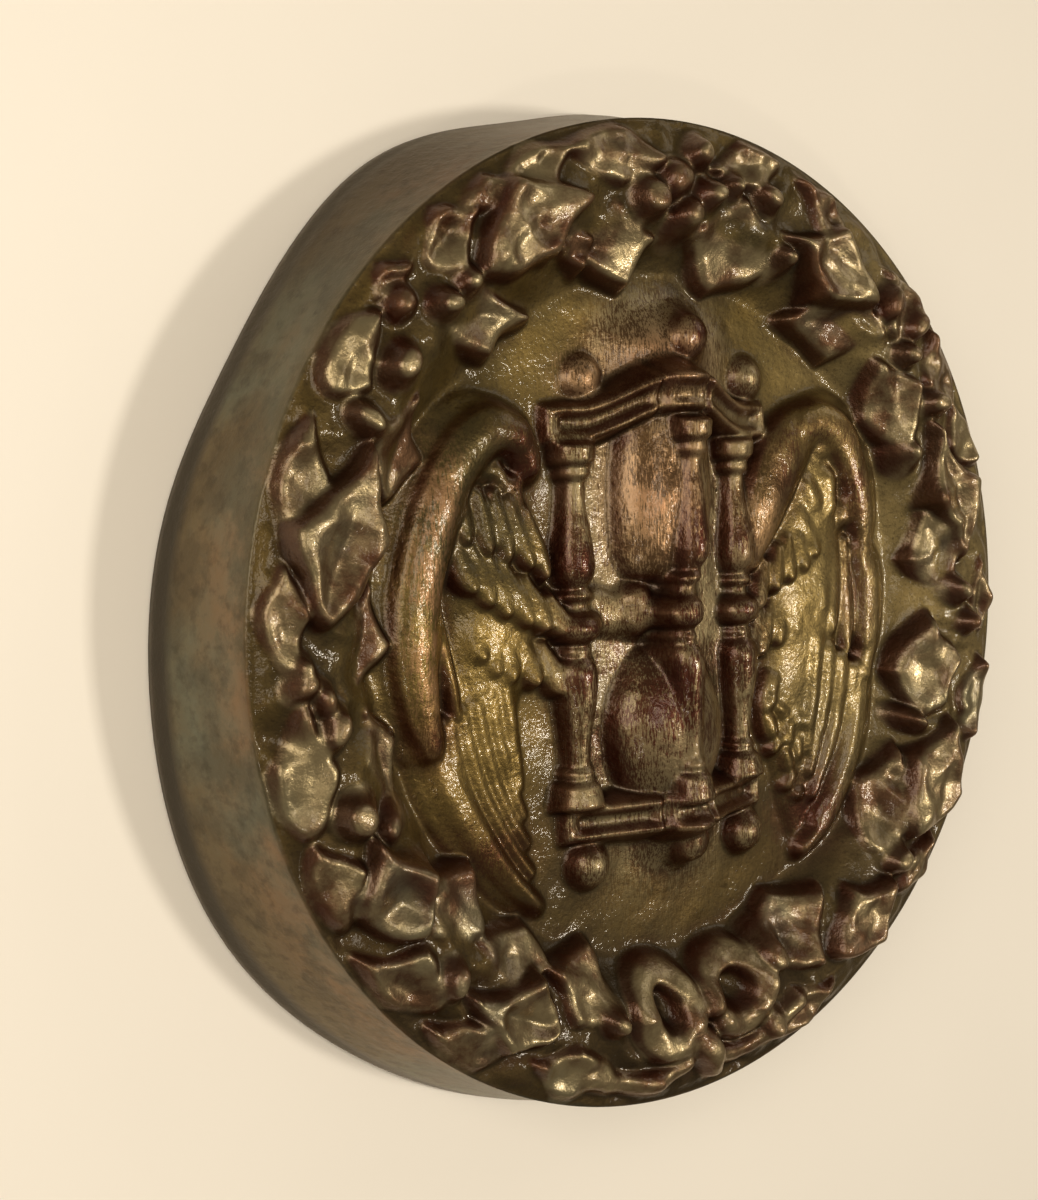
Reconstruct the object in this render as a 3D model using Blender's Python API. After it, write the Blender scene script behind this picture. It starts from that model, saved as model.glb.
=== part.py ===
import math

import bmesh
import bpy
import numpy as np

# Driving sizes, in metres. The plaque's back lies in the plane y = 0 and its face looks along -Y.
front_radius = 0.190  # front edge, where the side wall meets the wreath
back_radius = 0.2005  # middle value of the wavy edge that lies against the wall
field_depth = 0.0355  # wall to the plain field behind the hourglass
mound_depth = 0.0515  # wall to the crest of the garland's mound, under its leaves
edge_depth = 0.0490  # wall to the front edge
foot_height = 0.0100  # wall to the crease above the rounded foot band
seat_width = 0.0130  # flat seat that lies on the wall, in from the back edge
shell_wall = 0.0045  # metal behind the plain field
mound_inner = 0.1310  # radius where the field turns up into the mound
mound_crest = 0.1580  # radius where the mound is at its full height
leaf_lift = 0.0062  # under leaves above the mound
top_leaf_lift = 0.0102  # uppermost leaves above the mound
leaf_edge = 0.0048  # width of the rounded edge of a leaf
berry_radius = 0.0040
baluster_front = 0.0612  # wall to the foremost line of the middle baluster
baluster_spread = 0.0422  # side balusters from the middle of the hourglass
plate_height = 0.0130  # end plate, seen from in front
plate_corner = 0.0168  # how far an end plate's front corner stands out
wing_lift = 0.0075  # wing's thick leading edge, its axis above the field

# Mesh fineness
turn_steps = 420
face_rings = 100
wall_rings = 12
hollow_rings = 14
kept_share = 0.088  # share of the fine faces that the finished solid keeps

seat_radius = back_radius - seat_width

# Shares of the front radius: height of each level above the wall
R = front_radius
field = field_depth / R
crest = mound_depth / R
edge = edge_depth / R

# Swells of the hand-formed back edge: angle clockwise from the top, half width, height
back_swells = ((-118, 22, 0.030), (-59, 15, -0.028), (-31, 11, 0.017), (-12, 9, -0.014), (70, 30, 0.010),
               (150, 25, -0.008))

# Leaves by row: angle clockwise from the top, radius, length in degrees, width and, if it stands, a turn
inner_leaves = (
    (-88, 0.765, 14, 0.13), (-61, 0.77, 17, 0.16), (-38.5, 0.77, 17, 0.17, 35), (-20, 0.785, 8, 0.10),
    (-11, 0.77, 16, 0.18), (10.5, 0.765, 20, 0.19), (37.5, 0.77, 20, 0.19, -30), (56.5, 0.78, 19, 0.17),
    (84, 0.79, 16, 0.16), (103, 0.79, 17, 0.165), (128, 0.775, 19, 0.19), (156.5, 0.775, 17, 0.18),
    (202, 0.77, 16, 0.17), (216, 0.765, 15, 0.16), (231, 0.77, 18, 0.17), (256, 0.755, 14, 0.12),
)
outer_leaves = (
    (-85, 0.945, 13, 0.13), (-70, 0.955, 11, 0.12), (-56, 0.945, 12, 0.15), (-47, 0.955, 6, 0.09),
    (-37.5, 0.94, 10, 0.14), (-30.5, 0.95, 9, 0.08), (-22, 0.945, 11, 0.12), (-10, 0.93, 16, 0.12),
    (11, 0.94, 14, 0.13), (25.5, 0.945, 12, 0.12), (45.5, 0.915, 13, 0.13), (57, 0.945, 12, 0.13),
    (67, 0.95, 11, 0.11), (91, 0.945, 12, 0.12), (106, 0.95, 12, 0.12), (132, 0.945, 12, 0.12),
    (161, 0.94, 13, 0.13), (201, 0.945, 14, 0.13), (217.5, 0.945, 13, 0.13), (230.5, 0.94, 14, 0.14),
    (245, 0.95, 11, 0.12), (258.5, 0.94, 16, 0.14),
)
top_leaves = (
    (-75, 0.85, 24, 0.205), (-26.5, 0.86, 20.5, 0.185), (29.5, 0.85, 21, 0.185), (74, 0.865, 23, 0.175),
    (119.5, 0.865, 22, 0.18), (145, 0.87, 17.5, 0.18), (213.5, 0.865, 17, 0.18),
    (240.5, 0.855, 17, 0.165),
)

# Berries: angle, radius, share of the common berry size
berries = (
    (-95, 0.88, 0.9), (-91, 0.92, 0.8), (-61, 0.865, 1.2), (-53, 0.85, 1.1), (-48, 0.915, 1.0),
    (-43.5, 0.85, 1.2), (-38.5, 0.855, 1.0), (-6, 0.855, 1.5), (-1.5, 0.885, 1.3), (2, 0.94, 1.1),
    (0.5, 0.815, 1.2), (4, 0.86, 1.0), (8.5, 0.885, 1.0), (15, 0.88, 1.0), (21, 0.79, 0.9),
    (42, 0.89, 1.0), (50.5, 0.86, 1.3), (48, 0.92, 1.0), (60.5, 0.885, 1.2), (66, 0.78, 0.8),
    (90, 0.83, 1.0), (95, 0.87, 0.9), (113, 0.78, 0.8), (134, 0.86, 1.2), (163, 0.79, 1.4),
    (168, 0.92, 1.1), (196, 0.82, 1.0), (225, 0.87, 1.1), (252, 0.865, 1.5), (262, 0.865, 1.4),
    (267, 0.92, 1.0), (248, 0.80, 0.9),
)

# Lines of each wing in shares of the front radius: x, z and, where a third value stands, half width.
# Each edge starts with its height as a share of the wing's lift.
left_wing = {
    "body": ((-0.46, 0.32, 0.070), (-0.46, 0.16, 0.10), (-0.44, 0.02, 0.11), (-0.47, -0.10, 0.09),
             (-0.49, -0.20, 0.07)),
    "arm": ((-0.350, 0.28, 0.022), (-0.365, 0.33, 0.028), (-0.39, 0.375, 0.034), (-0.43, 0.39, 0.036)),
    "edges": (
        (0.30, ((-0.60, -0.20, 0.022), (-0.565, -0.28, 0.028), (-0.52, -0.355, 0.028),
                (-0.475, -0.42, 0.024), (-0.41, -0.50, 0.018),
                (-0.352, -0.55, 0.010))),
        (0.90, ((-0.40, 0.385, 0.036), (-0.455, 0.392, 0.044), (-0.515, 0.355, 0.047),
                (-0.565, 0.285, 0.048), (-0.602, 0.20, 0.050), (-0.634, 0.09, 0.050),
                (-0.642, -0.02, 0.048), (-0.632, -0.11, 0.038),
                (-0.610, -0.19, 0.024))),
    ),
    "rows": (
        (((-0.505, 0.05), (-0.425, 0.01), (-0.335, -0.02)),
         ((-0.480, -0.045), (-0.435, -0.085), (-0.375, -0.10), (-0.295, -0.13)), 5, 0.058, 0.012, 0.030),
        (((-0.545, 0.20), (-0.455, 0.16), (-0.325, 0.07)),
         ((-0.505, 0.085), (-0.435, 0.04), (-0.365, 0.01), (-0.295, -0.01)), 6, 0.058, 0.028, 0.042),
    ),
    "flight": (((-0.562, -0.16), (-0.538, -0.26), (-0.493, -0.36), (-0.435, -0.45), (-0.365, -0.535)),
               ((-0.43, -0.09), (-0.418, -0.16), (-0.408, -0.22), (-0.400, -0.27), (-0.395, -0.30)),
               5, 0.019),
    "slim": ((-0.590, 0.09, 0.012), (-0.577, 0.0, 0.016), (-0.558, -0.08, 0.014), (-0.545, -0.14, 0.008)),
    "curls": (((-0.43, 0.265, 0.012), (-0.39, 0.31, 0.016), (-0.360, 0.285, 0.014)),),
    "scales": ((-0.485, 0.30, 0.028), (-0.485, 0.22, 0.024), (-0.530, 0.18, 0.020), (-0.40, 0.245, 0.024),
               (-0.445, 0.19, 0.024), (-0.375, 0.18, 0.022), (-0.345, 0.12, 0.020)),
}
right_wing = {
    "body": ((0.44, 0.30, 0.10), (0.43, 0.20, 0.12), (0.42, 0.02, 0.14), (0.40, -0.12, 0.12),
             (0.385, -0.24, 0.105), (0.395, -0.36, 0.085), (0.405, -0.46, 0.065),
             (0.41, -0.53, 0.03)),
    "arm": ((0.228, 0.11, 0.030), (0.262, 0.18, 0.050), (0.293, 0.25, 0.064), (0.335, 0.32, 0.068),
            (0.380, 0.37, 0.058),
            (0.43, 0.395, 0.042)),
    "edges": (
        (0.70, ((0.586, -0.19, 0.018), (0.570, -0.27, 0.024), (0.552, -0.33, 0.026), (0.528, -0.39, 0.026),
                (0.492, -0.45, 0.025), (0.450, -0.505, 0.022), (0.390, -0.555, 0.014))),
        (0.80, ((0.578, 0.10, 0.022), (0.603, 0.05, 0.030), (0.606, -0.03, 0.030), (0.600, -0.10, 0.027),
                (0.588, -0.17, 0.020))),
        (0.85, ((0.40, 0.390, 0.032), (0.446, 0.400, 0.038), (0.490, 0.385, 0.040), (0.522, 0.355, 0.040),
                (0.548, 0.31, 0.040), (0.568, 0.25, 0.038), (0.584, 0.17, 0.032), (0.588, 0.12, 0.022))),
    ),
    "rows": (
        (((0.45, 0.14), (0.52, 0.14), (0.575, 0.12)),
         ((0.45, -0.02), (0.48, -0.08), (0.53, -0.13), (0.578, -0.12)), 4, 0.054, 0.022, 0.034),
        (((0.265, 0.0), (0.335, 0.03), (0.415, 0.05)),
         ((0.220, -0.125), (0.275, -0.10), (0.355, -0.075), (0.400, -0.045)), 5, 0.054, 0.014, 0.032),
        (((0.275, 0.10), (0.345, 0.15), (0.415, 0.16)),
         ((0.240, 0.0), (0.315, 0.04), (0.375, 0.06), (0.420, 0.10)), 5, 0.052, 0.028, 0.044),
    ),
    "flight": (((0.552, -0.17), (0.542, -0.27), (0.515, -0.36), (0.475, -0.43), (0.425, -0.49)),
               ((0.430, -0.09), (0.425, -0.15), (0.420, -0.21), (0.410, -0.27), (0.405, -0.33)), 4, 0.024),
    "slim": ((0.290, -0.15, 0.010), (0.268, -0.21, 0.012), (0.280, -0.28, 0.012), (0.305, -0.29, 0.008)),
    "curls": (((0.485, 0.33, 0.010), (0.515, 0.35, 0.014), (0.545, 0.340, 0.012)),),
    "scales": ((0.465, 0.34, 0.026), (0.42, 0.24, 0.030), (0.48, 0.24, 0.030), (0.535, 0.20, 0.024),
               (0.455, 0.185, 0.022), (0.395, 0.18, 0.022), (0.450, 0.01, 0.022), (0.310, -0.19, 0.022),
               (0.305, -0.24, 0.022), (0.355, -0.25, 0.020), (0.400, -0.28, 0.026), (0.355, -0.32, 0.022),
               (0.355, -0.37, 0.020), (0.370, -0.415, 0.018)),
}


def smooth_step(value):
    value = np.clip(value, 0.0, 1.0)
    return value * value * (3.0 - 2.0 * value)


def smooth_max(one, other, blend):
    gap = np.maximum(blend - np.abs(one - other), 0.0) / blend
    return np.maximum(one, other) + gap * gap * blend / 4.0


def mound(radius):
    """Height of the bare body: a plain field, a rounded mound, then the fall to the front edge."""
    rise = smooth_step((radius - mound_inner / R) / (mound_crest / R - mound_inner / R))
    fall = np.clip((radius - 0.88) / 0.12, 0.0, 1.0) ** 2
    return field + (crest - field) * rise - (crest - edge) * fall


def raise_to(sheet, chosen, height, blend):
    sheet["h"][chosen] = smooth_max(sheet["h"][chosen], height, blend)


def swell(sheet, x, z, half_x, half_z, height):
    """A soft bump added to whatever is there."""
    away = ((sheet["x"] - x) / half_x) ** 2 + ((sheet["z"] - z) / half_z) ** 2
    sheet["h"] += height * np.exp(-away)


def round_top(distance, radius, axis_height, squash=1.0, fall=2.0):
    """A round back over its axis, going on as a slope outside the radius."""
    inside = np.sqrt(np.maximum(radius * radius - distance * distance, 0.0))
    return axis_height + squash * inside - fall * np.maximum(distance - radius, 0.0)


def ball(sheet, x, z, radius, axis_height, blend=0.012, squash=1.0):
    distance = np.hypot(sheet["x"] - x, sheet["z"] - z)
    chosen = np.nonzero(distance < radius + 0.05)[0]
    raise_to(sheet, chosen, round_top(distance[chosen], radius, axis_height, squash), blend)


def smooth_path(points, pieces=7):
    """Catmull-Rom curve through the given rows of numbers."""
    points = np.array(points, float)
    points = np.vstack([2 * points[0] - points[1], points, 2 * points[-1] - points[-2]])
    path = []
    for before, start, end, after in zip(points, points[1:], points[2:], points[3:]):
        for t in np.linspace(0.0, 1.0, pieces, endpoint=False):
            bend = (2 * before - 5 * start + 4 * end - after) * t * t
            swing = (3 * start - before - 3 * end + after) * t ** 3
            path.append(0.5 * (2 * start + (end - before) * t + bend + swing))
    path.append(points[-2])
    return np.array(path)


def cord(sheet, points, blend=0.010, squash=1.0, fall=2.0, follow=False):
    """A round ridge along a curve; each point is x, z, radius and axis height, over the mound if so asked."""
    path = smooth_path(points)
    reach = path[:, 2].max() + 0.05
    low = path[:, :2].min(axis=0) - reach
    high = path[:, :2].max(axis=0) + reach
    x, z = sheet["x"], sheet["z"]
    chosen = np.nonzero((x > low[0]) & (x < high[0]) & (z > low[1]) & (z < high[1]))[0]
    here = np.stack([x[chosen], z[chosen]], axis=1)
    best = np.full(len(chosen), -1.0)
    for start, end in zip(path, path[1:]):
        run = end[:2] - start[:2]
        share = np.clip(((here - start[:2]) @ run) / max(run @ run, 1e-12), 0.0, 1.0)
        distance = np.linalg.norm(here - start[:2] - share[:, None] * run, axis=1)
        radius = start[2] + share * (end[2] - start[2])
        axis = start[3] + share * (end[3] - start[3])
        best = np.maximum(best, round_top(distance, radius, axis, squash, fall))
    if follow:
        best = best + mound(np.hypot(x[chosen], z[chosen]))
    raise_to(sheet, chosen, best, blend)


def turned(sheet, middle, profile, axis_height, blend=0.008, squash=1.0, fall=2.5):
    """An upright turned piece lying half sunk; the profile is rows of z and radius from the top down."""
    profile = np.array(profile, float)
    low, high = profile[:, 0].min(), profile[:, 0].max()
    distance = np.abs(sheet["x"] - middle(sheet["z"]))
    chosen = np.nonzero((distance < profile[:,
                                            1].max() + 0.04) & (sheet["z"] > low) & (sheet["z"] < high))[0]
    radius = np.interp(sheet["z"][chosen], profile[::-1, 0], profile[::-1, 1])
    raise_to(sheet, chosen, round_top(distance[chosen], radius, axis_height, squash, fall), blend)


def leaf_outline():
    """Half outline of a leaf from its tip to its base, as shares of half length and half width."""
    along = np.cos(np.linspace(0.0, math.pi, 15))
    across = np.where(along > 0, np.abs(1 - along) ** 1.2, np.abs(1 + along) ** 0.62)
    return along, across


def leaf(sheet, angle, radius, length_degrees, width, lift, turn=0.0):
    """A four-cornered ivy leaf draped on the mound, its tip toward the top of the wreath."""
    turn_side = 1.0 if 0 < angle < 180 else -1.0
    place = math.radians(angle)
    centre = np.array([math.sin(place), math.cos(place)]) * radius
    heading = place - turn_side * math.pi / 2 + math.radians(turn)
    tip_way = np.array([math.sin(heading), math.cos(heading)])
    side_way = np.array([tip_way[1], -tip_way[0]])
    half_length = math.radians(length_degrees) * radius / 2
    half_width = width / 2
    here = np.stack([sheet["x"], sheet["z"]], axis=1) - centre
    chosen = np.nonzero(np.abs(here).max(axis=1) < max(half_length, half_width) + 0.04)[0]
    here = here[chosen]
    along = here @ tip_way
    # The long axis bends with the wreath, so that a leaf keeps to its row.
    across = here @ side_way + along * along / (2 * radius) * turn_side
    steps, shares = leaf_outline()
    outline = np.concatenate([
        np.stack([steps * half_length, shares * half_width], axis=1),
        np.stack([steps * half_length, -shares * half_width], axis=1)[-2:0:-1],
    ])
    spot = np.stack([along, across], axis=1)
    distance = np.full(len(spot), 9.0)
    for start, end in zip(outline, np.roll(outline, -1, axis=0)):
        run = end - start
        share = np.clip(((spot - start) @ run) / (run @ run), 0.0, 1.0)
        distance = np.minimum(distance, np.linalg.norm(spot - start - share[:, None] * run, axis=1))
    inside = np.abs(across) < np.interp(along, (steps * half_length)[::-1], (shares * half_width)[::-1])
    inside &= np.abs(along) < half_length
    depth = np.where(inside, distance, -distance)
    # The blade is a shallow bowl inside a rounded edge, creased along its middle, and leans to one side.
    rounded = np.sqrt(1 - (1 - np.clip(depth * R / leaf_edge, 0.0, 1.0)) ** 2)
    bowl = np.clip(1 - (along / half_length / 0.85) ** 2 - (across / half_width / 0.80) ** 2, 0.0, 1.0)
    lean = (0.010 * math.sin(2.7 * angle) + 0.004) * across / half_width
    crease = 0.010 * np.exp(-(across / 0.014) ** 2) * smooth_step(3 * bowl) * math.cos(1.9 * angle)
    # A leaf is stiff, so it follows the mound's slope only in part.
    level = mound(0.45 * np.hypot(sheet["x"][chosen],
                                  sheet["z"][chosen]) + 0.55 * radius) + lift * (rounded - 1)
    height = level + lift - 0.020 * bowl + lean + crease + 0.010 * along / half_length
    height = height - 2.4 * np.maximum(-depth, 0.0)
    raise_to(sheet, chosen, height, 0.007)


def feather(sheet, root, tip, width, root_height, tip_height, crown=0.016, blend=0.005, point=0.28):
    """A long rounded blade from its root to its tip, lying over what is beyond the tip."""
    root = np.array(root)
    tip = np.array(tip)
    run = tip - root
    length = np.hypot(*run)
    run = run / length
    here = np.stack([sheet["x"], sheet["z"]], axis=1) - root
    chosen = np.nonzero(np.abs(here).max(axis=1) < length + width)[0]
    along = here[chosen] @ run
    across = here[chosen] @ np.array([run[1], -run[0]])
    share = np.clip(along / length, 0.0, 1.0)
    half = width / 2 * (0.55 + 0.45 * smooth_step(share / 0.6))
    taper = np.clip((share - 1 + point) / point, 0.0, 1.0)
    half = half * np.sqrt(1 - taper * taper) + 1e-4
    beyond = np.maximum(np.maximum(np.abs(across) - half, 0.0), np.maximum(along - length, -along))
    near = beyond < 0.03
    chosen, across, share, half, beyond = chosen[near], across[near], share[near], half[near], beyond[near]
    height = root_height + (tip_height - root_height) * share
    height = height + crown * (np.sqrt(np.maximum(1 - (across / half) ** 2, 0.0)) - 0.6)
    raise_to(sheet, chosen, height - 2.5 * np.maximum(beyond, 0.0), blend)


def feather_row(sheet, roots, tips, count, width, root_height, tip_height):
    """Feathers side by side, their roots and tips spaced along two curves."""
    root_line = smooth_path(roots)
    tip_line = smooth_path(tips)
    for share in np.linspace(0.0, 1.0, count):
        root = root_line[round(share * (len(root_line) - 1))]
        tip = tip_line[round(share * (len(tip_line) - 1))]
        feather(sheet, root, tip, width, root_height, tip_height, crown=0.017, point=0.4)


def flight_feathers(sheet, outer, inner, count, half_width, axis_height):
    """Long curved ridges fanned out between two curves of as many points."""
    for share in np.linspace(0.0, 1.0, count):
        middle = (1 - share) * np.array(outer) + share * np.array(inner)
        thinning = np.linspace(1.2 * half_width, 0.6 * half_width, len(middle))
        cord(sheet, [(x, z, half, axis_height) for (x, z), half in zip(middle, thinning)],
             blend=0.006, squash=0.65)


def unruly(sheet):
    """The same sheet with its plan pulled about a little, as hand-modelled leaves are."""
    x, z = sheet["x"], sheet["z"]
    pull_x = 0.011 * np.sin(11 * z + 3 * np.sin(7 * x)) + 0.005 * np.sin(29 * x + 2 * np.sin(23 * z))
    pull_z = 0.011 * np.sin(12 * x + 3 * np.cos(8 * z)) + 0.005 * np.sin(31 * z + 2 * np.cos(19 * x))
    return {"x": x + pull_x, "z": z + pull_z, "h": sheet["h"]}


def garland(sheet):
    sheet = unruly(sheet)
    for angle, radius, length, width in outer_leaves:
        leaf(sheet, angle, radius, length, width, leaf_lift / R, turn=12 * math.sin(angle))
    for angle, radius, length, width, *own_turn in inner_leaves:
        leaf(sheet, angle, radius, length, width, leaf_lift / R,
             turn=8 * math.sin(2 * angle) + sum(own_turn))
    for angle, radius, size in berries:
        place = math.radians(angle)
        ball_radius = size * berry_radius / R
        axis = float(mound(np.array(radius))) + leaf_lift / R + 0.006
        ball(sheet, radius * math.sin(place), radius * math.cos(place),
             ball_radius, axis, blend=0.018, squash=0.6)
    for angle, radius, length, width in top_leaves:
        leaf(sheet, angle, radius, length, width, top_leaf_lift / R, turn=4 * math.sin(angle))


def bow(sheet):
    """Ribbon at the foot of the wreath: a knot, a leaning loop on each side and short tails."""
    ends = (((-0.05, -0.915), (-0.12, -0.94), (-0.20, -0.93), (-0.30, -0.895)),
            ((0.06, -0.93), (0.12, -0.935), (0.20, -0.905), (0.29, -0.865)))
    for tail in ends:
        cord(sheet, [(x, z, 0.022, 0.008) for x, z in tail], follow=True)
    # Each loop: middle, half sizes of the ring its band follows, lean, first and last angle round it
    loops = ((-0.088, -0.800, 0.066, 0.078, 24, -50, 300), (0.108, -0.800, 0.076, 0.072, -10, 200, -118))
    for middle_x, middle_z, half_x, half_z, lean, first, last in loops:
        ring = []
        for turn in np.radians(np.linspace(first, last, 10)):
            x, z = half_x * math.cos(turn), half_z * math.sin(turn)
            tilt = math.radians(lean)
            ring.append((middle_x + x * math.cos(tilt) - z * math.sin(tilt),
                         middle_z + x * math.sin(tilt) + z * math.cos(tilt)))
        swell(sheet, middle_x, middle_z, 0.040, 0.045, -0.020)
        cord(sheet, [(x, z, 0.032, 0.016) for x, z in ring], squash=0.80, follow=True)
    cord(sheet, [(-0.025, -0.865, 0.026, 0.020), (0.005, -0.895, 0.032, 0.026),
                 (0.030, -0.945, 0.026, 0.016)], follow=True)


def hourglass_line(z):
    """The place of the hourglass's middle at a height: it is set by hand and leans a little."""
    return np.interp(z, (-0.48, -0.36, 0.0, 0.40, 0.50), (-0.008, -0.018, -0.028, -0.008, 0.018))


def front_line(z):
    """The middle baluster wanders more than the others."""
    return np.interp(z, (-0.36, -0.10, 0.02, 0.13, 0.40), (-0.010, -0.020, -0.034, 0.0, 0.008))


def left_line(z):
    return hourglass_line(0.0) - baluster_spread / R + 0.01 * z


def right_line(z):
    return hourglass_line(0.0) + baluster_spread / R - 0.01 * z


def hourglass(sheet):
    side_axis = field + 0.016
    front_axis = baluster_front / R - 0.045
    swell(sheet, -0.02, 0.02, 0.23, 0.42, 0.030)
    upper_bulb = [(0.42, 0.118), (0.34, 0.131), (0.25, 0.138), (0.17, 0.136), (0.12, 0.126), (0.09, 0.105),
                  (0.075, 0.060)]
    lower_bulb = [(-0.045, 0.055), (-0.065, 0.090), (-0.095, 0.115), (-0.13, 0.135), (-0.17, 0.150),
                  (-0.22, 0.157), (-0.28, 0.152), (-0.34, 0.130), (-0.37, 0.110)]
    for bulb in (upper_bulb, lower_bulb):
        turned(sheet, hourglass_line, smooth_path(bulb), field - 0.005, squash=0.74, blend=0.012)
    shaft = smooth_path([(0.288, 0.025), (0.24, 0.028), (0.18, 0.037), (0.13, 0.043), (0.10, 0.040),
                         (0.080, 0.028)])
    bead = [(0.030, 0.030), (0.026, 0.040), (0.015, 0.049), (0.0, 0.053), (-0.015, 0.049), (-0.026, 0.040),
            (-0.030, 0.030)]
    low_shaft = smooth_path([(-0.058, 0.030), (-0.075, 0.041), (-0.10, 0.045), (-0.15, 0.041),
                             (-0.22, 0.031), (-0.28, 0.027)])
    side_profile = [(0.365, 0.048), (0.325, 0.046), (0.318, 0.030), (0.312, 0.036), (0.298, 0.036),
                    (0.292, 0.026), *shaft, (0.074, 0.028), (0.070, 0.036), (0.058, 0.036), (0.054, 0.026),
                    (0.034, 0.026), *bead, (-0.034, 0.026), (-0.040, 0.034), (-0.050, 0.034), *low_shaft,
                    (-0.285, 0.036), (-0.298, 0.036), (-0.303, 0.028), (-0.312, 0.045), (-0.330, 0.048),
                    (-0.365, 0.055)]
    turned(sheet, left_line, [(z, r * 1.12) for z, r in side_profile], side_axis)
    turned(sheet, right_line, [(z, r * 1.08) for z, r in side_profile], side_axis)
    front_profile = [(z * 1.08 + 0.018, r * 0.98) for z, r in side_profile]
    turned(sheet, front_line, front_profile, front_axis)
    plates(sheet)
    for side in (-1, 1):
        ball(sheet, hourglass_line(0.5) + side * 0.228, 0.492, 0.047, field - 0.010, squash=1.2, blend=0.02)
        ball(sheet, hourglass_line(-0.48) + side * 0.218, -0.485, 0.055, field - 0.005, squash=1.1)
    swell(sheet, -0.01, 0.55, 0.12, 0.075, 0.050)
    ball(sheet, 0.045, 0.575, 0.050, field + 0.050, squash=0.9, blend=0.02)
    swell(sheet, 0.0, -0.46, 0.07, 0.05, 0.045)
    ball(sheet, 0.022, -0.470, 0.047, field + 0.045, squash=0.9)
    # Collar at the waist and its small knob
    cord(sheet, [(-0.20, 0.030, 0.045, field + 0.010), (0.02, 0.040, 0.050, field + 0.020)],
         blend=0.035, squash=0.6)
    cord(sheet, [(-0.100, 0.055, 0.026, field + 0.056), (-0.104, 0.000, 0.028, field + 0.052)], blend=0.014)


def plates(sheet):
    """Three-cornered end plates, one corner toward the viewer: raised borders round sunk panels."""
    for end, middle, corner_rise, reach in ((1, 0.402, 0.060, 0.300), (-1, -0.396, 0.004, 0.272)):
        out = np.abs(sheet["x"] - hourglass_line(end * 0.36))
        line = middle + corner_rise * (1 - smooth_step((out - 0.03) / 0.20))
        away = np.abs(sheet["z"] - line)
        chosen = np.nonzero((out < reach + 0.05) & (away < 0.09))[0]
        out, away = out[chosen], away[chosen]
        slope_share = np.clip(out / reach, 0, 1)
        level = field + 0.022 + plate_corner / R * (1 - 0.4 * smooth_step(slope_share) - 0.6 * slope_share)
        half_height = plate_height / R / 2
        edge_gap = np.minimum(half_height - away, reach - out)
        panel = np.minimum(half_height - 0.014 - away, np.minimum(reach - 0.028 - out, out - 0.078))
        corner_panel = np.minimum(half_height - 0.012 - away, 0.036 - out)
        groove = 0.012 * smooth_step(panel / 0.010) + 0.007 * smooth_step(corner_panel / 0.008)
        groove = groove + 0.018 * np.exp(-((out - 0.060) / 0.009) ** 2)
        border = 0.008 * np.exp(-((edge_gap - 0.008) / 0.008) ** 2)
        raise_to(sheet, chosen, level + border - groove - 2.5 * np.maximum(-edge_gap, 0.0), 0.010)


def wing(sheet, lines):
    """A folded wing: thick leading edge, arm, scales, rows of coverts and long flight feathers."""
    base = field + 0.004
    side = 1 if lines["arm"][0][0] > 0 else -1
    cord(sheet, [(x, z, half, base - 0.006) for x, z, half in lines["body"]], squash=0.32, blend=0.02)
    # A low soft bank lies along the outer side of the leading edge.
    for height, line in lines["edges"]:
        bank = [(x + side * 0.030, z + 0.004, 1.6 * half, base - 0.008) for x, z, half in line]
        cord(sheet, bank, squash=0.5, blend=0.03)
    outer, inner, count, half_width = lines["flight"]
    flight_feathers(sheet, outer, inner, count, half_width, base + 0.012 + 0.010 * (side > 0))
    for roots, tips, count, width, root_lift, tip_lift in lines["rows"]:
        feather_row(sheet, roots, tips, count, width, base + root_lift, base + tip_lift)
    for place, (x, z, half) in enumerate(lines["scales"]):
        reach_x = 0.018 * math.cos(2.4 * place)
        reach_z = 0.018 * math.sin(2.4 * place)
        lump = ((x - reach_x, z - reach_z, half, base + 0.018),
                (x + reach_x, z + reach_z, 0.8 * half, base + 0.024))
        cord(sheet, lump, squash=0.65, blend=0.010)
    for line in (lines["slim"], *lines["curls"]):
        cord(sheet, [(x, z, half, base + 0.024) for x, z, half in line], blend=0.006)
    for height, line in lines["edges"]:
        axis = base + height * wing_lift / R
        cord(sheet, [(x, z, half, axis) for x, z, half in line], squash=0.62, blend=0.014)
    arm_squash = 0.42 if side > 0 else 0.75
    cord(sheet, [(x, z, half, base + 0.024) for x, z, half in lines["arm"]], squash=arm_squash, blend=0.02)


def relief(x, z):
    """Height of the face above the wall, in shares of the front radius."""
    sheet = {"x": x, "z": z, "h": mound(np.hypot(x, z))}
    wing(sheet, left_wing)
    wing(sheet, right_wing)
    hourglass(sheet)
    garland(sheet)
    bow(sheet)
    near_edge = smooth_step((1.0 - np.hypot(x, z)) / 0.030)
    return edge + (sheet["h"] - edge) * near_edge


def back_edge(angle):
    """Radius of the edge against the wall, wavy as the hand-formed sheet is."""
    radius = np.full(np.shape(angle), back_radius)
    for centre, half_width, height in back_swells:
        away = (np.degrees(angle) - centre + 180) % 360 - 180
        radius = radius + R * height * np.exp(-(away / half_width) ** 2)
    return radius


def side_share(depth_share):
    """How far the side wall has spread from the front edge (0) to the back edge (1)."""
    wall_stretch = 1 - foot_height / edge_depth
    hollow = 0.86 * np.clip(depth_share / wall_stretch, 0, 1) ** 1.25
    foot = smooth_step((depth_share - wall_stretch) / (1 - wall_stretch) * 1.4)
    return hollow + 0.14 * foot


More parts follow.
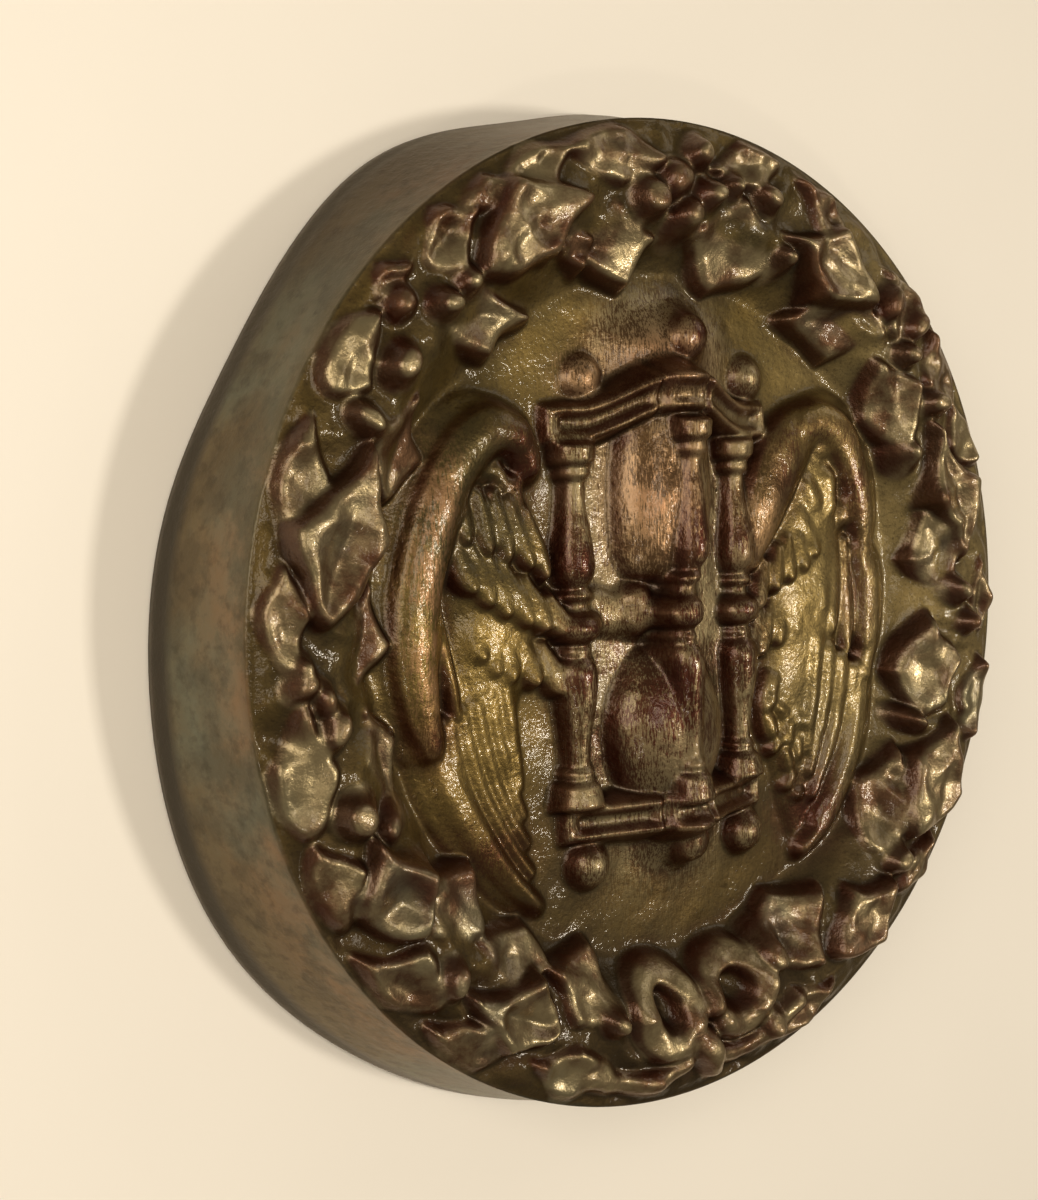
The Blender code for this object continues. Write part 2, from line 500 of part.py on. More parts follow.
def turned_body():
    """The body's section, turned about the plaque's axis; it is shaped further by shape_body."""
    mesh = bmesh.new()
    section = []
    for ring in range(face_rings + 1):
        section.append((R * ring / face_rings, -edge_depth))
    for ring in range(1, wall_rings + 1):
        section.append((back_radius, -edge_depth * (1 - ring / wall_rings)))
    hollow_depth = edge_depth - 2 * shell_wall
    section.append((seat_radius, 0.0))
    for ring in range(1, 5):
        section.append((seat_radius - (seat_radius - R + 3 * shell_wall) * ring / 4,
                        -hollow_depth * ring / 4))
    for ring in range(1, hollow_rings + 1):
        radius = (R - 3 * shell_wall) * (1 - ring / hollow_rings)
        section.append((radius, shell_wall - R * float(mound(np.array(radius / R)))))
    points = [mesh.verts.new((radius, y, 0.0)) for radius, y in section]
    edges = [mesh.edges.new(pair) for pair in zip(points, points[1:])]
    bmesh.ops.spin(mesh, geom=points + edges, cent=(0, 0, 0), axis=(0, 1, 0), angle=2 * math.pi,
                   steps=turn_steps, use_merge=True)
    bmesh.ops.remove_doubles(mesh, verts=mesh.verts, dist=1e-6)
    bmesh.ops.recalc_face_normals(mesh, faces=mesh.faces)
    return mesh


def shape_body(mesh):
    """Spread the side wall to the wavy back edge and raise the relief on the face."""
    at = np.array([vertex.co for vertex in mesh.verts])
    radius = np.hypot(at[:, 0], at[:, 2])
    angle = np.arctan2(at[:, 0], at[:, 2])
    on_face = (at[:, 1] < -edge_depth + 1e-6) & (radius < R + 1e-6)
    on_wall = radius > R + 1e-6
    depth_share = 1 + at[:, 1] / edge_depth
    spread = R + (back_edge(angle) - R) * side_share(depth_share)
    new_radius = np.where(on_wall, spread, radius)
    at[:, 0] = new_radius * np.sin(angle)
    at[:, 2] = new_radius * np.cos(angle)
    at[on_face, 1] = -R * relief(at[on_face, 0] / R, at[on_face, 2] / R)
    return at


def clear_scene():
    for thing in list(bpy.data.objects):
        bpy.data.objects.remove(thing, do_unlink=True)


def metal():
    material = bpy.data.materials.new("patinated_copper")
    material.use_nodes = True
    shader = material.node_tree.nodes["Principled BSDF"]
    shader.inputs["Base Color"].default_value = (0.19, 0.12, 0.06, 1.0)
    shader.inputs["Roughness"].default_value = 0.3
    shader.inputs["Metallic"].default_value = 1.0
    return material


def plaque():
    collection = bpy.data.collections.new("relief_plaque")
    bpy.context.scene.collection.children.link(collection)
    mesh = turned_body()
    at = shape_body(mesh)
    # The origin is on the flat seat at the top, where the plaque bears on the wall.
    seat_middle = (float(back_edge(np.array(0.0))) + seat_radius) / 2
    for vertex, place in zip(mesh.verts, at):
        vertex.co = (place[0], place[1], place[2] - seat_middle)
    data = bpy.data.meshes.new("relief_plaque")
    mesh.to_mesh(data)
    mesh.free()
    fine = bpy.data.objects.new("relief_plaque_fine", data)
    collection.objects.link(fine)
    lighter = fine.modifiers.new("Decimate", "DECIMATE")
    lighter.ratio = kept_share
    graph = bpy.context.evaluated_depsgraph_get()
    solid = bpy.data.meshes.new_from_object(fine.evaluated_get(graph))
    bpy.data.objects.remove(fine, do_unlink=True)
    solid.name = "relief_plaque"
    body = bpy.data.objects.new("relief_plaque", solid)
    collection.objects.link(body)
    solid.materials.append(metal())
    solid.shade_smooth()
    return body


clear_scene()
plaque()
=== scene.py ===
import math

import bmesh
import bpy
import numpy as np
from mathutils import Matrix, Vector


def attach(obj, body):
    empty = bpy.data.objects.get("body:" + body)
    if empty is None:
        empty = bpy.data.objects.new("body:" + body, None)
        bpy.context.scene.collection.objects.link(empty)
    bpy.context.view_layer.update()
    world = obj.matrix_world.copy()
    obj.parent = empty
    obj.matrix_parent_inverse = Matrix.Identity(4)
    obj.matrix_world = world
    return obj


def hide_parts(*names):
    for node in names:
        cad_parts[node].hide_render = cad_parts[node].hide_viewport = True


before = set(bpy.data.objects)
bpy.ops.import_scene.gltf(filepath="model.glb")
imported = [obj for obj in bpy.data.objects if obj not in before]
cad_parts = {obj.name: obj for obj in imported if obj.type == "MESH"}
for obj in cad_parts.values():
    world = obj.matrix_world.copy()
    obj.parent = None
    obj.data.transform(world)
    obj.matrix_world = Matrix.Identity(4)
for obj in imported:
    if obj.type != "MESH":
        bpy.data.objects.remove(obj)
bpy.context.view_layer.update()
print("packed frame loaded")

# Metres; the back lies in the plane y = 0, the face looks along -Y
plaque = {
    "frontRadius": 0.190,    # front edge, where the side wall meets the wreath
    "backRadius": 0.2005,    # middle value of the wavy edge on the wall
    "seatRadius": 0.1875,    # inner edge of the flat seat
    "fieldDepth": 0.0355,    # wall to the plain field
    "moundDepth": 0.0515,    # wall to the crest of the garland's mound
    "edgeDepth": 0.0490,     # wall to the front edge
    "footHeight": 0.0100,    # wall to the crease above the foot band
    "shellWall": 0.0045,     # thickness of the metal
    "moundInner": 0.1310,    # foot of the mound, from the middle
    "moundCrest": 0.1580,
    "gridStep": 0.00055,     # spacing at which the relief is worked out
    "melt": 0.0009,          # softness of the cast surface
    "turnSteps": 1120,       # steps round the axis, a multiple of 8
    "faceRings": 215,
    "wallRings": 34,
    "keptShare": 0.30,       # faces left after thinning the even mesh
    "calmBelow": 0.0595,     # the proudest forms are pressed together between this depth and the next
    "greatestDepth": 0.0629,
}
rim = plaque["frontRadius"]
field = plaque["fieldDepth"] / rim
crest = plaque["moundDepth"] / rim
edge = plaque["edgeDepth"] / rim

# Swells of the hand-formed back edge: angle clockwise from the top, half width, height
backSwells = (
    (-118, 22, 0.030), (-59, 15, -0.028), (-31, 11, 0.017),
    (-12, 9, -0.014), (70, 30, 0.010), (150, 25, -0.008),
)

# Leaves by row: angle clockwise from the top, radius, length in degrees, width and, if it stands, a turn
innerLeaves = (
    (-88, 0.765, 14, 0.13), (-61, 0.77, 17, 0.16), (-38.5, 0.77, 17, 0.17, 35), (-20, 0.785, 8, 0.10),
    (-11, 0.77, 16, 0.18), (10.5, 0.765, 20, 0.19), (37.5, 0.77, 20, 0.19, -30), (56.5, 0.78, 19, 0.17),
    (84, 0.79, 16, 0.16), (103, 0.79, 17, 0.165), (128, 0.775, 19, 0.19), (156.5, 0.775, 17, 0.18),
    (202, 0.77, 16, 0.17), (216, 0.765, 15, 0.16), (231, 0.77, 18, 0.17), (256, 0.755, 14, 0.12),
)
outerLeaves = (
    (-85, 0.945, 13, 0.13), (-70, 0.955, 11, 0.12), (-56, 0.945, 12, 0.15), (-47, 0.955, 6, 0.09),
    (-37.5, 0.94, 10, 0.14), (-30.5, 0.95, 9, 0.08), (-22, 0.945, 11, 0.12), (-10, 0.93, 16, 0.12),
    (11, 0.94, 14, 0.13), (25.5, 0.945, 12, 0.12), (45.5, 0.915, 13, 0.13), (57, 0.945, 12, 0.13),
    (67, 0.95, 11, 0.11), (91, 0.945, 12, 0.12), (106, 0.95, 12, 0.12), (132, 0.945, 12, 0.12),
    (161, 0.94, 13, 0.13), (201, 0.945, 14, 0.13), (217.5, 0.945, 13, 0.13), (230.5, 0.94, 14, 0.14),
    (245, 0.95, 11, 0.12), (258.5, 0.94, 16, 0.14),
)
topLeaves = (
    (-75, 0.85, 24, 0.205), (-26.5, 0.86, 20.5, 0.185), (29.5, 0.85, 21, 0.185), (74, 0.865, 23, 0.175),
    (119.5, 0.865, 22, 0.18), (145, 0.87, 17.5, 0.18), (213.5, 0.865, 17, 0.18),
    (240.5, 0.855, 17, 0.165),
)

# Berries: angle, radius, share of the common berry size
berries = (
    (-95, 0.88, 0.9), (-91, 0.92, 0.8), (-61, 0.865, 1.2), (-53, 0.85, 1.1), (-48, 0.915, 1.0),
    (-43.5, 0.85, 1.2), (-38.5, 0.855, 1.0), (-6, 0.855, 1.5), (-1.5, 0.885, 1.3), (2, 0.94, 1.1),
    (0.5, 0.815, 1.2), (4, 0.86, 1.0), (8.5, 0.885, 1.0), (15, 0.88, 1.0), (21, 0.79, 0.9),
    (42, 0.89, 1.0), (50.5, 0.86, 1.3), (48, 0.92, 1.0), (60.5, 0.885, 1.2), (66, 0.78, 0.8),
    (90, 0.83, 1.0), (95, 0.87, 0.9), (113, 0.78, 0.8), (134, 0.86, 1.2), (163, 0.79, 1.4),
    (168, 0.92, 1.1), (196, 0.82, 1.0), (225, 0.87, 1.1), (252, 0.865, 1.5), (262, 0.865, 1.4),
    (267, 0.92, 1.0), (248, 0.80, 0.9),
)

# Lines of each wing in shares of the front radius: x, z and, where a third value stands, half width.
# Each edge starts with its height as a share of the wing's lift.
leftWing = {
    "body": ((-0.46, 0.32, 0.070), (-0.46, 0.16, 0.10), (-0.44, 0.02, 0.11), (-0.47, -0.10, 0.09),
             (-0.49, -0.20, 0.07)),
    "arm": ((-0.362, 0.325, 0.030), (-0.372, 0.350, 0.036), (-0.395, 0.378, 0.038), (-0.43, 0.39, 0.038)),
    "edges": (
        (0.30, ((-0.60, -0.20, 0.022), (-0.565, -0.28, 0.028), (-0.52, -0.355, 0.028),
                (-0.475, -0.42, 0.024), (-0.41, -0.50, 0.018),
                (-0.352, -0.55, 0.010))),
        (0.90, ((-0.40, 0.385, 0.036), (-0.455, 0.392, 0.044), (-0.515, 0.355, 0.047),
                (-0.565, 0.285, 0.048), (-0.602, 0.20, 0.050), (-0.634, 0.09, 0.050),
                (-0.642, -0.02, 0.048), (-0.632, -0.11, 0.038),
                (-0.610, -0.19, 0.024))),
    ),
    "rows": (
        (((-0.505, 0.05), (-0.425, 0.01), (-0.335, -0.02)),
         ((-0.480, -0.045), (-0.435, -0.085), (-0.375, -0.10), (-0.295, -0.13)), 5, 0.058, 0.012, 0.030),
        (((-0.545, 0.20), (-0.455, 0.16), (-0.325, 0.07)),
         ((-0.505, 0.085), (-0.435, 0.04), (-0.365, 0.01), (-0.295, -0.01)), 6, 0.058, 0.028, 0.042),
        (((-0.530, 0.28), (-0.450, 0.28), (-0.375, 0.24)),
         ((-0.515, 0.180), (-0.445, 0.150), (-0.385, 0.130), (-0.330, 0.100)), 5, 0.050, 0.030, 0.040),
    ),
    "flight": (((-0.562, -0.16), (-0.538, -0.26), (-0.493, -0.36), (-0.435, -0.45), (-0.365, -0.535)),
               ((-0.43, -0.09), (-0.418, -0.16), (-0.408, -0.22), (-0.400, -0.27), (-0.395, -0.30)),
               5, 0.019),
    "slim": ((-0.590, 0.09, 0.012), (-0.577, 0.0, 0.016), (-0.558, -0.08, 0.014), (-0.545, -0.14, 0.008)),
    "curls": (),
    "scales": ((-0.475, 0.315, 0.024), (-0.430, 0.305, 0.024), (-0.392, 0.270, 0.022), (-0.500, 0.260, 0.020),
               (-0.455, 0.250, 0.020)),
}
rightWing = {
    "body": ((0.44, 0.30, 0.10), (0.43, 0.20, 0.12), (0.42, 0.02, 0.14), (0.40, -0.12, 0.12),
             (0.385, -0.24, 0.105), (0.395, -0.36, 0.085), (0.405, -0.46, 0.065),
             (0.41, -0.53, 0.03)),
    "arm": ((0.228, 0.11, 0.030), (0.262, 0.18, 0.050), (0.293, 0.25, 0.064), (0.335, 0.32, 0.068),
            (0.380, 0.37, 0.058),
            (0.43, 0.395, 0.042)),
    "edges": (
        (0.70, ((0.586, -0.19, 0.018), (0.570, -0.27, 0.024), (0.552, -0.33, 0.026), (0.528, -0.39, 0.026),
                (0.492, -0.45, 0.025), (0.450, -0.505, 0.022), (0.390, -0.555, 0.014))),
        (0.80, ((0.578, 0.10, 0.022), (0.603, 0.05, 0.030), (0.606, -0.03, 0.030), (0.600, -0.10, 0.027),
                (0.588, -0.17, 0.020))),
        (0.85, ((0.40, 0.390, 0.032), (0.446, 0.400, 0.038), (0.490, 0.385, 0.040), (0.522, 0.355, 0.040),
                (0.548, 0.31, 0.040), (0.568, 0.25, 0.038), (0.584, 0.17, 0.032), (0.588, 0.12, 0.022))),
    ),
    "rows": (
        (((0.45, 0.14), (0.52, 0.14), (0.575, 0.12)),
         ((0.45, -0.02), (0.48, -0.08), (0.53, -0.13), (0.578, -0.12)), 4, 0.054, 0.022, 0.034),
        (((0.265, 0.0), (0.335, 0.03), (0.415, 0.05)),
         ((0.220, -0.125), (0.275, -0.10), (0.355, -0.075), (0.400, -0.045)), 5, 0.054, 0.014, 0.032),
        (((0.275, 0.10), (0.345, 0.15), (0.415, 0.16)),
         ((0.240, 0.0), (0.315, 0.04), (0.375, 0.06), (0.420, 0.10)), 5, 0.052, 0.028, 0.044),
    ),
    "flight": (((0.552, -0.17), (0.542, -0.27), (0.515, -0.36), (0.475, -0.43), (0.425, -0.49)),
               ((0.430, -0.09), (0.425, -0.15), (0.420, -0.21), (0.410, -0.27), (0.405, -0.33)), 4, 0.024),
    "slim": ((0.290, -0.15, 0.010), (0.268, -0.21, 0.012), (0.280, -0.28, 0.012), (0.305, -0.29, 0.008)),
    "curls": (((0.485, 0.33, 0.010), (0.515, 0.35, 0.014), (0.545, 0.340, 0.012)),),
    "scales": ((0.465, 0.34, 0.026), (0.42, 0.24, 0.030), (0.48, 0.24, 0.030), (0.535, 0.20, 0.024),
               (0.455, 0.185, 0.022), (0.395, 0.18, 0.022), (0.450, 0.01, 0.022), (0.300, -0.175, 0.016),
               (0.288, -0.215, 0.017), (0.325, -0.235, 0.016), (0.292, -0.265, 0.017), (0.345, -0.285, 0.018),
               (0.308, -0.310, 0.016), (0.385, -0.265, 0.020), (0.340, -0.345, 0.018), (0.375, -0.325, 0.016),
               (0.350, -0.395, 0.016), (0.375, -0.430, 0.015)),
}

wreath = {"leafLift": 0.0062, "topLeafLift": 0.0102, "leafEdge": 0.0048, "berryRadius": 0.0040}
glass = {"balusterFront": 0.0612, "balusterSpread": 0.0422, "plateHeight": 0.0130, "plateCorner": 0.0168}
wings = {"wingLift": 0.0075}


def smoothStep(value):
    value = np.clip(value, 0.0, 1.0)
    return value * value * (3.0 - 2.0 * value)


def smoothMax(one, other, blend):
    gap = np.maximum(blend - np.abs(one - other), 0.0) / blend
    return np.maximum(one, other) + gap * gap * blend / 4.0


# Height of the bare body: a plain field, a rounded mound, then the fall to the front edge
def mound(radius):
    start, end = plaque["moundInner"] / rim, plaque["moundCrest"] / rim
    rise = smoothStep((radius - start) / (end - start))
    fall = np.clip((radius - 0.88) / 0.12, 0.0, 1.0) ** 2
    return field + (crest - field) * rise - (crest - edge) * fall


def raiseTo(sheet, chosen, height, blend):
    sheet["h"][chosen] = smoothMax(sheet["h"][chosen], height, blend)


# A soft bump added to whatever is there
def swell(sheet, x, z, halfX, halfZ, height):
    away = ((sheet["x"] - x) / halfX) ** 2 + ((sheet["z"] - z) / halfZ) ** 2
    sheet["h"] += height * np.exp(-away)


# A round back over its axis, going on as a slope outside the radius
def roundTop(distance, radius, axisHeight, squash=1.0, fall=2.0):
    inside = np.sqrt(np.maximum(radius * radius - distance * distance, 0.0))
    return axisHeight + squash * inside - fall * np.maximum(distance - radius, 0.0)


def ball(sheet, x, z, radius, axisHeight, blend=0.012, squash=1.0):
    distance = np.hypot(sheet["x"] - x, sheet["z"] - z)
    chosen = np.nonzero(distance < radius + 0.05)[0]
    raiseTo(sheet, chosen, roundTop(distance[chosen], radius, axisHeight, squash), blend)


# Catmull-Rom curve through the given rows of numbers
def smoothPath(points, pieces=7):
    points = np.array(points, float)
    points = np.vstack([2 * points[0] - points[1], points, 2 * points[-1] - points[-2]])
    path = []
    for before, start, end, after in zip(points, points[1:], points[2:], points[3:]):
        for t in np.linspace(0.0, 1.0, pieces, endpoint=False):
            bend = (2 * before - 5 * start + 4 * end - after) * t * t
            swing = (3 * start - before - 3 * end + after) * t ** 3
            path.append(0.5 * (2 * start + (end - before) * t + bend + swing))
    path.append(points[-2])
    return np.array(path)


# A round ridge along a curve; each point is x, z, radius and axis height, over the mound if so asked
def cord(sheet, points, blend=0.010, squash=1.0, fall=2.0, follow=False):
    path = smoothPath(points)
    reach = path[:, 2].max() + 0.05
    low = path[:, :2].min(axis=0) - reach
    high = path[:, :2].max(axis=0) + reach
    x, z = sheet["x"], sheet["z"]
    chosen = np.nonzero((x > low[0]) & (x < high[0]) & (z > low[1]) & (z < high[1]))[0]
    here = np.stack([x[chosen], z[chosen]], axis=1)
    best = np.full(len(chosen), -1.0)
    for start, end in zip(path, path[1:]):
        run = end[:2] - start[:2]
        share = np.clip(((here - start[:2]) @ run) / max(run @ run, 1e-12), 0.0, 1.0)
        distance = np.linalg.norm(here - start[:2] - share[:, None] * run, axis=1)
        radius = start[2] + share * (end[2] - start[2])
        axis = start[3] + share * (end[3] - start[3])
        best = np.maximum(best, roundTop(distance, radius, axis, squash, fall))
    if follow:
        best = best + mound(np.hypot(x[chosen], z[chosen]))
    raiseTo(sheet, chosen, best, blend)


# An upright turned piece lying half sunk; the profile is rows of z and radius from the top down
def turned(sheet, middle, profile, axisHeight, blend=0.008, squash=1.0, fall=2.5):
    profile = np.array(profile, float)
    low, high = profile[:, 0].min(), profile[:, 0].max()
    distance = np.abs(sheet["x"] - middle(sheet["z"]))
    chosen = np.nonzero((distance < profile[:,
                                            1].max() + 0.04) & (sheet["z"] > low) & (sheet["z"] < high))[0]
    radius = np.interp(sheet["z"][chosen], profile[::-1, 0], profile[::-1, 1])
    raiseTo(sheet, chosen, roundTop(distance[chosen], radius, axisHeight, squash, fall), blend)


# Half outline of a leaf from its tip to its base, as shares of half length and half width
def leafOutline():
    along = np.cos(np.linspace(0.0, math.pi, 15))
    across = np.where(along > 0, np.abs(1 - along) ** 1.2, np.abs(1 + along) ** 0.62)
    return along, across


# A four-cornered ivy leaf draped on the mound, its tip toward the top of the wreath
def leaf(sheet, angle, radius, lengthDegrees, width, lift, turn=0.0):
    turnSide = 1.0 if 0 < angle < 180 else -1.0
    place = math.radians(angle)
    centre = np.array([math.sin(place), math.cos(place)]) * radius
    heading = place - turnSide * math.pi / 2 + math.radians(turn)
    tipWay = np.array([math.sin(heading), math.cos(heading)])
    sideWay = np.array([tipWay[1], -tipWay[0]])
    halfLength = math.radians(lengthDegrees) * radius / 2
    halfWidth = width / 2
    here = np.stack([sheet["x"], sheet["z"]], axis=1) - centre
    chosen = np.nonzero(np.abs(here).max(axis=1) < max(halfLength, halfWidth) + 0.04)[0]
    here = here[chosen]
    along = here @ tipWay
    # The long axis bends with the wreath, so that a leaf keeps to its row.
    across = here @ sideWay + along * along / (2 * radius) * turnSide
    steps, shares = leafOutline()
    outline = np.concatenate([
        np.stack([steps * halfLength, shares * halfWidth], axis=1),
        np.stack([steps * halfLength, -shares * halfWidth], axis=1)[-2:0:-1],
    ])
    spot = np.stack([along, across], axis=1)
    distance = np.full(len(spot), 9.0)
    for start, end in zip(outline, np.roll(outline, -1, axis=0)):
        run = end - start
        share = np.clip(((spot - start) @ run) / (run @ run), 0.0, 1.0)
        distance = np.minimum(distance, np.linalg.norm(spot - start - share[:, None] * run, axis=1))
    inside = np.abs(across) < np.interp(along, (steps * halfLength)[::-1], (shares * halfWidth)[::-1])
    inside &= np.abs(along) < halfLength
    depth = np.where(inside, distance, -distance)
    # The blade is a shallow bowl inside a rounded edge, creased along its middle, and leans to one side.
    rounded = np.sqrt(1 - (1 - np.clip(depth * rim / wreath["leafEdge"], 0.0, 1.0)) ** 2)
    bowl = np.clip(1 - (along / halfLength / 0.85) ** 2 - (across / halfWidth / 0.80) ** 2, 0.0, 1.0)
    lean = (0.010 * math.sin(2.7 * angle) + 0.004) * across / halfWidth
    crease = 0.010 * np.exp(-(across / 0.014) ** 2) * smoothStep(3 * bowl) * math.cos(1.9 * angle)
    # A leaf is stiff, so it follows the mound's slope only in part.
    level = mound(0.45 * np.hypot(sheet["x"][chosen],
                                  sheet["z"][chosen]) + 0.55 * radius) + lift * (rounded - 1)
    height = level + lift - 0.020 * bowl + lean + crease + 0.010 * along / halfLength
    height = height - 2.4 * np.maximum(-depth, 0.0)
    raiseTo(sheet, chosen, height, 0.007)


# A long rounded blade from its root to its tip, lying over what is beyond the tip
def feather(sheet, root, tip, width, rootHeight, tipHeight, crown=0.016, blend=0.005, point=0.28):
    root = np.array(root)
    tip = np.array(tip)
    run = tip - root
    length = np.hypot(*run)
    run = run / length
    here = np.stack([sheet["x"], sheet["z"]], axis=1) - root
    chosen = np.nonzero(np.abs(here).max(axis=1) < length + width)[0]
    along = here[chosen] @ run
    across = here[chosen] @ np.array([run[1], -run[0]])
    share = np.clip(along / length, 0.0, 1.0)
    half = width / 2 * (0.55 + 0.45 * smoothStep(share / 0.6))
    taper = np.clip((share - 1 + point) / point, 0.0, 1.0)
    half = half * np.sqrt(1 - taper * taper) + 1e-4
    beyond = np.maximum(np.maximum(np.abs(across) - half, 0.0), np.maximum(along - length, -along))
    near = beyond < 0.03
    chosen, across, share, half, beyond = chosen[near], across[near], share[near], half[near], beyond[near]
    height = rootHeight + (tipHeight - rootHeight) * share
    height = height + crown * (np.sqrt(np.maximum(1 - (across / half) ** 2, 0.0)) - 0.6)
    raiseTo(sheet, chosen, height - 2.5 * np.maximum(beyond, 0.0), blend)


# Feathers side by side, their roots and tips spaced along two curves
def featherRow(sheet, roots, tips, count, width, rootHeight, tipHeight):
    rootLine = smoothPath(roots)
    tipLine = smoothPath(tips)
    for share in np.linspace(0.0, 1.0, count):
        root = rootLine[round(share * (len(rootLine) - 1))]
        tip = tipLine[round(share * (len(tipLine) - 1))]
        feather(sheet, root, tip, width, rootHeight, tipHeight, crown=0.017, point=0.4)


# Long curved ridges fanned out between two curves of as many points
def flightFeathers(sheet, outer, inner, count, halfWidth, axisHeight):
    for share in np.linspace(0.0, 1.0, count):
        middle = (1 - share) * np.array(outer) + share * np.array(inner)
        thinning = np.linspace(1.2 * halfWidth, 0.6 * halfWidth, len(middle))
        cord(sheet, [(x, z, half, axisHeight) for (x, z), half in zip(middle, thinning)],
             blend=0.006, squash=0.65)


# The same sheet with its plan pulled about a little, as hand-modelled leaves are
def unruly(sheet):
    x, z = sheet["x"], sheet["z"]
    pullX = 0.011 * np.sin(11 * z + 3 * np.sin(7 * x)) + 0.005 * np.sin(29 * x + 2 * np.sin(23 * z))
    pullZ = 0.011 * np.sin(12 * x + 3 * np.cos(8 * z)) + 0.005 * np.sin(31 * z + 2 * np.cos(19 * x))
    return {"x": x + pullX, "z": z + pullZ, "h": sheet["h"]}


def garland(sheet):
    sheet = unruly(sheet)
    for angle, radius, length, width in outerLeaves:
        leaf(sheet, angle, radius, length, width, wreath["leafLift"] / rim, turn=12 * math.sin(angle))
    for angle, radius, length, width, *ownTurn in innerLeaves:
        leaf(sheet, angle, radius, length, width, wreath["leafLift"] / rim,
             turn=8 * math.sin(2 * angle) + sum(ownTurn))
    for angle, radius, size in berries:
        place = math.radians(angle)
        ballRadius = size * wreath["berryRadius"] / rim
        axis = float(mound(np.array(radius))) + wreath["leafLift"] / rim + 0.006
        ball(sheet, radius * math.sin(place), radius * math.cos(place),
             ballRadius, axis, blend=0.018, squash=0.6)
    for angle, radius, length, width in topLeaves:
        leaf(sheet, angle, radius, length, width, wreath["topLeafLift"] / rim, turn=4 * math.sin(angle))


# Ribbon at the foot of the wreath: a knot, a leaning loop on each side and short tails
def bow(sheet):
    ends = (((-0.05, -0.915), (-0.12, -0.94), (-0.20, -0.93), (-0.30, -0.895)),
            ((0.06, -0.93), (0.12, -0.935), (0.20, -0.905), (0.29, -0.865)))
    for tail in ends:
        cord(sheet, [(x, z, 0.022, 0.008) for x, z in tail], follow=True)
    # Each loop: middle, half sizes of the ring its band follows, lean, first and last angle round it
    loops = ((-0.088, -0.800, 0.066, 0.078, 24, -50, 300), (0.108, -0.800, 0.076, 0.072, -10, 200, -118))
    for middleX, middleZ, halfX, halfZ, lean, first, last in loops:
        ring = []
        for turn in np.radians(np.linspace(first, last, 10)):
            x, z = halfX * math.cos(turn), halfZ * math.sin(turn)
            tilt = math.radians(lean)
            ring.append((middleX + x * math.cos(tilt) - z * math.sin(tilt),
                         middleZ + x * math.sin(tilt) + z * math.cos(tilt)))
        swell(sheet, middleX, middleZ, 0.040, 0.045, -0.020)
        cord(sheet, [(x, z, 0.032, 0.016) for x, z in ring], squash=0.80, follow=True)
    cord(sheet, [(-0.025, -0.865, 0.026, 0.020), (0.005, -0.895, 0.032, 0.026),
                 (0.030, -0.945, 0.026, 0.016)], follow=True)


# The place of the hourglass's middle at a height: it is given at a few heights and leans a little
def hourglassLine(z):
    return np.interp(z, (-0.48, -0.36, 0.0, 0.40, 0.50), (-0.008, -0.018, -0.028, -0.008, 0.018))


# The middle baluster wanders more than the others
def frontLine(z):
    return np.interp(z, (-0.36, -0.10, 0.02, 0.13, 0.40), (-0.010, -0.020, -0.034, 0.0, 0.008))


def leftLine(z):
    return hourglassLine(0.0) - glass["balusterSpread"] / rim + 0.01 * z


def rightLine(z):
    return hourglassLine(0.0) + glass["balusterSpread"] / rim - 0.01 * z


